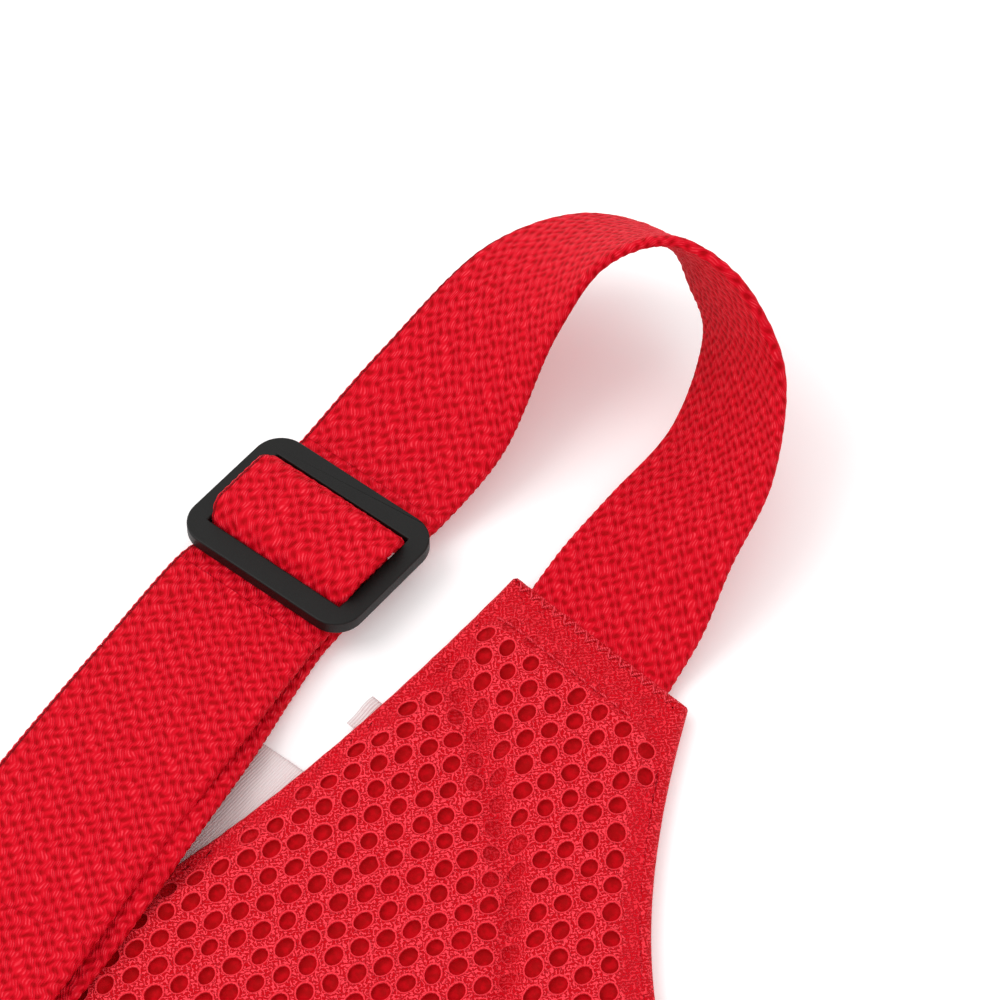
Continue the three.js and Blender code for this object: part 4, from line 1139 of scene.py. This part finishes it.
# Across each tab: a row of stitches, and a zigzag along the top edge.
tab_rows, tab_zigzags = [], []
for a, b in (TAB_LEFT, TAB_RIGHT):
    d = (b - a) / np.linalg.norm(b - a)
    down = np.array([d[1], -d[0]])
    down *= -np.sign(down[1])
    line = np.array([a + d * 4.4 + down * TAB_SEAM, b - d * 4.4 + down * TAB_SEAM])
    tab_rows.append(running_stitch(on_height(resample(line, 1.0), back_height), 2.4))
    line = resample(np.array([a + d * 2, b - d * 2]), 1.0) - (0, 1.6)
    tab_zigzags.append(zigzag_stitch(np.column_stack([line, np.full(len(line), 4.6)]), 1.3, 0.9))
stitches("back_stitches", "spacer_mesh", tab_rows, 0.2)
stitches("tab_zigzag", "spacer_mesh", tab_zigzags, 0.2)


# ---------------------------------------------------------------- rounded copies of CAD pieces
def rounded_copy(name, node, width, material, squeeze=1.0):
    """A copy of a CAD piece with its edges rounded, which then stands for it."""
    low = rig.box(node)[0].z
    source = frame["nodes"][node].data
    data = bpy.data.meshes.new(name)
    work = bmesh.new()
    work.from_mesh(source)
    bmesh.ops.remove_doubles(work, verts=work.verts, dist=1e-6)
    bmesh.ops.dissolve_limit(work, angle_limit=math.radians(1.5), verts=work.verts, edges=work.edges)
    work.to_mesh(data)
    work.free()
    for vertex in data.vertices:
        vertex.co.z = low + (vertex.co.z - low) * squeeze
    obj = placed(name, data)
    bevel = obj.modifiers.new("bevel", "BEVEL")
    bevel.width = width * MM
    bevel.segments = 3
    bevel.limit_method = "ANGLE"
    bevel.angle_limit = math.radians(28)
    bevel.use_clamp_overlap = True
    normals = obj.modifiers.new("normals", "WEIGHTED_NORMAL")
    normals.keep_sharp = True
    for polygon in data.polygons:
        polygon.use_smooth = True
    shaped = bpy.data.meshes.new_from_object(obj.evaluated_get(bpy.context.evaluated_depsgraph_get()))
    obj.modifiers.clear()
    obj.data = shaped
    obj.data.materials.clear()
    obj.data.materials.append(material)
    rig.replaces(obj, node)
    return obj


for name, side in SIDES:
    for kind, width, body in (
        ("tri_glide", 0.42, f"tri_glide_{name}"),
        ("strap_ring", 0.7, f"strap_ring_{name}"),
        ("buckle_housing", 0.5, "vest"),
        ("buckle_plug", 0.5, f"buckle_plug_{name}"),
        ("latch_arm_upper", 0.45, f"latch_arm_upper_{name}"),
        ("latch_arm_lower", 0.45, f"latch_arm_lower_{name}"),
    ):
        piece = rounded_copy(f"{kind}_{name}_look", f"{kind}_{name}", width, PLASTIC)
        ride_all(body, "black_plastic", piece)
for node in ("back_neck_pad", "back_upper_pad", "back_lower_pad", "front_pad"):
    piece = rounded_copy(f"{node}_look", node, 0.9, FOAM, squeeze=0.85)
    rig.padded(piece, fill=0.8)
    ride_all("vest", "foam", piece)


# ---------------------------------------------------------------- front panel
def front_outline():
    foot = NEAR_BAR + RING_AHEAD * FRONT_TAB_REACH
    tab = np.array([TAB_X - foot[0], TAB_Y + foot[1]])
    side = np.array([math.cos(RING_TURN), -math.sin(RING_TURN)]) * FRONT_TAB_HALF
    outer, inner = tab + side, tab - side
    neck = bezier((0, FRONT_SCOOP_Y), (40, FRONT_SCOOP_Y), (inner[0] - 30, inner[1] - 6), inner, 50)
    t = np.linspace(0, 1, 20)[:, None]
    armpit = np.array([FRONT_HALF, outer[1] - 36])
    arm = outer * (1 - t) ** 2 + 2 * t * (1 - t) * (outer + (1, -26)) + t**2 * armpit
    corner = hem_corner(FRONT_HALF, FRONT_HEM_Y)
    return both_halves(np.vstack([neck, arm, corner, [(0, FRONT_HEM_Y)]]))[::-1]


FRONT_OUTLINE = front_outline()
FRONT_BAND = 8.0
QUILT_X = 52


def front_height(points):
    edge, _ = near(points, closed(FRONT_OUTLINE))
    x, y = points.T
    z = FRONT_TOP - 0.05 - 1.6 * np.exp(-((edge / 5.0) ** 2))
    z -= 0.8 * np.exp(-(((edge - FRONT_BAND - 2) / 1.8) ** 2))
    for at in (-QUILT_X, QUILT_X):
        z -= 0.7 * np.exp(-(((x - at) / 2.0) ** 2)) * step(edge, 8, 14)
    z -= 0.35 * (1 - step(edge, 10, 30))
    z += 0.15 * np.sin(0.12 * x + 0.4) * np.sin(0.15 * y)
    return np.minimum(z, FRONT_TOP + 0.1)


top_points, top_faces = sheet_surface(inset(FRONT_OUTLINE, 2.0), front_height, 2.6)
front_shell = mesh_object("front_shell", top_points, top_faces, CLOTH)
front_size = (FRONT_OUTLINE.max(0) - FRONT_OUTLINE.min(0)) * MM
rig.sheet(front_shell, flat=tuple(front_size), held="laid", area=area_of(FRONT_OUTLINE) * MM**2,
         rests_on=["front_pad_look"])
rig.replaces(front_shell, "front_outer_shell")
ride_all("vest", "shell_fabric", front_shell)
low_points, low_faces = sheet_surface(
    inset(FRONT_OUTLINE, 2.0), lambda q: np.full(len(q), FRONT_LOW + 0.3), 6.0, upward=False,
)
front_mesh = mesh_object("front_mesh", low_points, low_faces, KNIT_EDGE)
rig.replaces(front_mesh, "front_inner_mesh")
front_edge = rolled_edge("front_edge", FRONT_OUTLINE, (
    (4.0, 7.3), (1.2, 7.4), (0.2, 8.2), (-0.2, 9.8), (-0.1, 11.3), (0.6, 12.6), (2.0, 13.5),
    (4.0, 13.95), (6.6, 14.1), (7.8, 13.9), (8.2, 13.3),
), TAPE)
ride_all("vest", "spacer_mesh", front_mesh)
ride_all("vest", "webbing", front_edge)
front_rows = [running_stitch(on_height(resample(closed(inset(FRONT_OUTLINE, 6.9)), 1.0),
                                       lambda q: np.full(len(q), 14.1), 0.05), 2.8)]
for at in (-QUILT_X, QUILT_X):
    for low, high in ((-117.0, -94.0), (FRONT_HEM_Y + 12, -155.0)):
        line = np.column_stack([np.full(40, at), np.linspace(low, high, 40)])
        front_rows.append(running_stitch(on_height(line, front_height), 2.8))
stitches("front_stitches", "shell_fabric", front_rows, 0.22)


# ---------------------------------------------------------------- tabs, belts and the haul loop
def ring_tab_points():
    wrap = math.hypot(*RING_WIRE) / 2 + 0.35 + RING_TAB / 2
    low, high = FRONT_CORE[0] + RING_TAB / 2, FRONT_CORE[1] - RING_TAB / 2
    end = FRONT_TAB_REACH + SEWN_IN
    return [
        (end, high), (FRONT_TAB_REACH, high), (FRONT_TAB_REACH - 3, high + 0.5),
        (1.4, RING_LIFT + wrap), *half_turn(0, RING_LIFT, -wrap), (1.4, RING_LIFT - wrap),
        (FRONT_TAB_REACH - 3, low - 0.5), (FRONT_TAB_REACH, low), (end, low),
    ]


for name, side in SIDES:
    start = NEAR_BAR + (-TAB_X, TAB_Y)
    tab = band(f"ring_tab_{name}", ring_tab_points(), RING_TAB_HALF, start, RING_AHEAD, RING_TAB,
               flip=side > 0, spacing=0.5, grain=0.5, relief=0.12)
    ride_all("vest", "webbing", tab)

SEAM_RUN = -PANEL_HALF - PLUG_START
BELT_LOW = FRONT_TOP + GAP + BELT / 2
SIDE_BELT = [
    (SEAM_RUN + SEWN_IN, CORE_MIDDLE), (SEAM_RUN, CORE_MIDDLE), (SEAM_RUN - 7, CORE_MIDDLE + 1),
    (SEAM_RUN - 14, 6.5), (SEAM_RUN - 16, 11), (SEAM_RUN - 13.5, 15.5),
    (SEAM_RUN - 8, BUCKLE_Z - BAR_WRAP + 0.7), (0.5, BUCKLE_Z - BAR_WRAP),
    *half_turn(2, BUCKLE_Z, BAR_WRAP), (0.5, BUCKLE_Z + BAR_WRAP), (SEAM_RUN - 3, BUCKLE_Z + 1.2),
    (SEAM_RUN - 7.5, BELT_LOW + BELT + 1.4), (SEAM_RUN - 12, BELT_LOW + BELT + 1.6),
]
for name, side in SIDES:
    belt = band(f"side_belt_{name}", SIDE_BELT, BELT_HALF, (PLUG_START, BELT_Y), (1, 0), BELT,
                flip=side > 0)
    foot = (side * 0.15, (BELT_Y + SHIFT_Y) * MM, 0.006)
    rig.blend(belt, "vest", f"buckle_plug_{name}", foot, (foot[0], foot[1], 0.0135))
    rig.slot(belt, "webbing")

HALF_BELT = [
    (0, BELT_LOW), (HOUSING_BAR_X - 20, BELT_LOW), (HOUSING_BAR_X - 9, BELT_LOW + 0.2),
    (HOUSING_BAR_X + 1, BUCKLE_Z - BAR_WRAP - 0.1), *half_turn(HOUSING_BAR_X, BUCKLE_Z, BAR_WRAP),
    (HOUSING_BAR_X + 1, BUCKLE_Z + BAR_WRAP), (HOUSING_BAR_X - 8, BUCKLE_Z + 0.4),
    (HOUSING_BAR_X - 15, BELT_LOW + BELT + 0.6), (HOUSING_BAR_X - 30, BELT_LOW + BELT + GAP),
]
FRONT_BELT = [(-run, high) for run, high in HALF_BELT[:0:-1]] + HALF_BELT
BACK_BELT = [(run, CORE_MIDDLE) for run in (-136, 0, 136)]

TETHER_WRAP = TETHER_BAR * math.sqrt(2) + 0.35 + 0.5
NECK_RUN = NECK_Y - TETHER_Y
HAUL_LOOP = [
    (NECK_RUN - SEWN_IN, 1.6), (NECK_RUN, 1.6), (-5, 1.4), (-0.6, TETHER_Z - TETHER_WRAP),
    *half_turn(0, TETHER_Z, TETHER_WRAP), (-0.6, TETHER_Z + TETHER_WRAP), (-6, 4.0),
    (NECK_RUN, 2.8), (NECK_RUN - SEWN_IN, 2.8),
]
ride_all(
    "vest", "webbing",
    band("front_belt", FRONT_BELT, BELT_HALF, (0, BELT_Y), (1, 0), BELT),
    band("back_belt", BACK_BELT, BELT_HALF, (0, BELT_Y), (1, 0), BELT, spacing=0.8, grain=0.8),
    band("haul_loop", HAUL_LOOP, TAPE_HALF, (0, TETHER_Y), (0, 1), 1.0, TAPE,
         spacing=0.4, grain=0.45, relief=0.08),
)


def tether_ring():
    """Round steel wire bent to a D."""
    half, bend = TETHER_HALF, 1.6
    bow = arc(0, 0, 1, 0, math.pi, 40) * (half, TETHER_REACH - 3) + (0, 3)
    left = arc(-half + bend, bend, bend, math.pi, 1.5 * math.pi, 8)
    right = arc(half - bend, bend, bend, -math.pi / 2, 0, 8)
    path = resample(closed(np.vstack([bow, left, right])), 0.8)[:-1]
    ahead = unit(np.roll(path, -1, 0) - np.roll(path, 1, 0))
    out = np.column_stack([ahead[:, 1], -ahead[:, 0]])
    rows = []
    for angle in np.linspace(0, 2 * math.pi, 16, endpoint=False):
        flat = path + out * TETHER_BAR * math.cos(angle) + (0, TETHER_Y)
        height = TETHER_Z + TETHER_BAR * math.sin(angle)
        rows.append(np.column_stack([flat, np.full(len(flat), height)]))
    points = np.vstack(rows)
    faces = np.array(grid_faces(len(rows) + 1, len(path))) % len(points)
    return mesh_object("tether_ring_look", points, faces.tolist(), STEEL)


ring_piece = tether_ring()
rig.replaces(ring_piece, "tether_ring")
ride_all("tether_ring", "steel", ring_piece)


# ---------------------------------------------------------------- labels
def label(name, node, rows, columns, curl, share=1.0):
    """A satin label: sewn at its right end, lifting and waving a little at the free one."""
    low, high = (np.array(corner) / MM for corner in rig.box(node))
    free = high[0] - share * (high[0] - low[0])
    x = np.linspace(high[0], free, columns)
    y = np.linspace(low[1] - SHIFT_Y, high[1] - SHIFT_Y, rows)
    gx, gy = np.meshgrid(x, y)
    out = (high[0] - gx) / (high[0] - free)
    fold = np.exp(-(((gy - y[-1] + 0.28 * (y[-1] - y[0])) / 2.2) ** 2))
    lift = curl * out * (0.5 + 0.3 * np.sin(gy * 0.35) + 1.2 * fold)
    z = low[2] + 0.2 + lift + 0.1 * np.sin(gx * 0.5)
    top = np.stack([gx.ravel(), gy.ravel(), z.ravel()], 1)
    points = np.vstack([top, top - (0, 0, 0.16)])
    face = grid_faces(rows, columns, around=False)
    n = len(top)
    faces = [tuple(f[::-1]) for f in face] + [tuple(k + n for k in f) for f in face]
    rim = [
        *range(columns), *range(2 * columns - 1, n, columns),
        *range(n - 2, n - columns - 1, -1), *range(n - 2 * columns, 0, -columns),
    ]
    for a, b in zip(rim, rim[1:] + rim[:1]):
        faces.append((a, b, b + n, a + n))
    obj = mesh_object(name, points, faces, SATIN)
    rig.replaces(obj, node)
    ride_all("vest", "satin", obj)
    return obj, ((high[0] - low[0]) * MM, (high[1] - low[1]) * MM)


care_label, care_size = label("care_label_look", "care_label", 40, 48, 1.0)
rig.sheet(care_label, flat=care_size, held="laid")
label("size_label_look", "size_label", 12, 12, 0.8, share=0.6)


# ---------------------------------------------------------------- stage, lights and camera
def build_stage():
    plain = Shade("paper_white", roughness=0.9)
    plain.colour((0.97, 0.97, 0.97, 1.0))
    plain.shader.inputs["Emission Color"].default_value = (1.0, 1.0, 1.0, 1.0)
    plain.shader.inputs["Emission Strength"].default_value = 0.1
    data = bpy.data.meshes.new("floor")
    r = 6.0
    data.from_pydata([(-r, -r, 0), (r, -r, 0), (r, r, 0), (-r, r, 0)], [], [(0, 1, 2, 3)])
    data.materials.append(plain.material)
    floor = placed("floor", data)
    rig.stage(floor)


def area_light(name, place, target, size, watts):
    light = bpy.data.lights.new(name, "AREA")
    light.shape = "DISK"
    light.size = size
    light.energy = watts
    obj = placed(name, light)
    obj.location = place
    obj.rotation_euler = (target - place).to_track_quat("-Z", "Y").to_euler()


def build_camera():
    """The camera looks down at the left shoulder tab, from in front and from the vest's left."""
    turn, tilt = math.radians(38.7), math.radians(52.5)
    right = Vector((math.cos(turn), math.sin(turn), 0))
    up = Vector((-math.sin(turn) * math.sin(tilt), math.cos(turn) * math.sin(tilt), math.cos(tilt)))
    back = right.cross(up)
    tab = Vector((-TAB_X * MM, (TAB_Y + SHIFT_Y) * MM, 0))
    target = tab - right * 0.0175 + up * 0.0266
    distance, view_width = 0.70, 0.1748
    camera = bpy.data.cameras.new("camera")
    camera.lens = camera.sensor_width * distance / view_width
    camera.clip_start = 0.01
    obj = placed("camera", camera)
    obj.location = target + back * distance
    obj.rotation_euler = (-back).to_track_quat("-Z", "Y").to_euler()
    bpy.context.scene.camera = obj
    return target, right, up, back


build_stage()
aim, view_right, view_up, view_back = build_camera()
key = aim - view_right * 0.55 + view_up * 0.45 + view_back * 0.55
area_light("key", key, aim, 0.7, 3.0)
area_light("fill", aim + view_right * 0.7 + view_back * 0.7, aim, 1.0, 0.6)
world = bpy.data.worlds.new("studio")
world.use_nodes = True
world.node_tree.nodes["Background"].inputs[0].default_value = (1, 1, 1, 1)
world.node_tree.nodes["Background"].inputs[1].default_value = 1.0
bpy.context.scene.world = world
bpy.context.scene.view_settings.view_transform = "Standard"

sizes = {"cad": [list(map(float, corner)) for corner in CAD_BOX],
         "visual": [list(map(float, corner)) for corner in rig.bounds()]}
with open("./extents.json", "w") as out:
    json.dump(sizes, out)
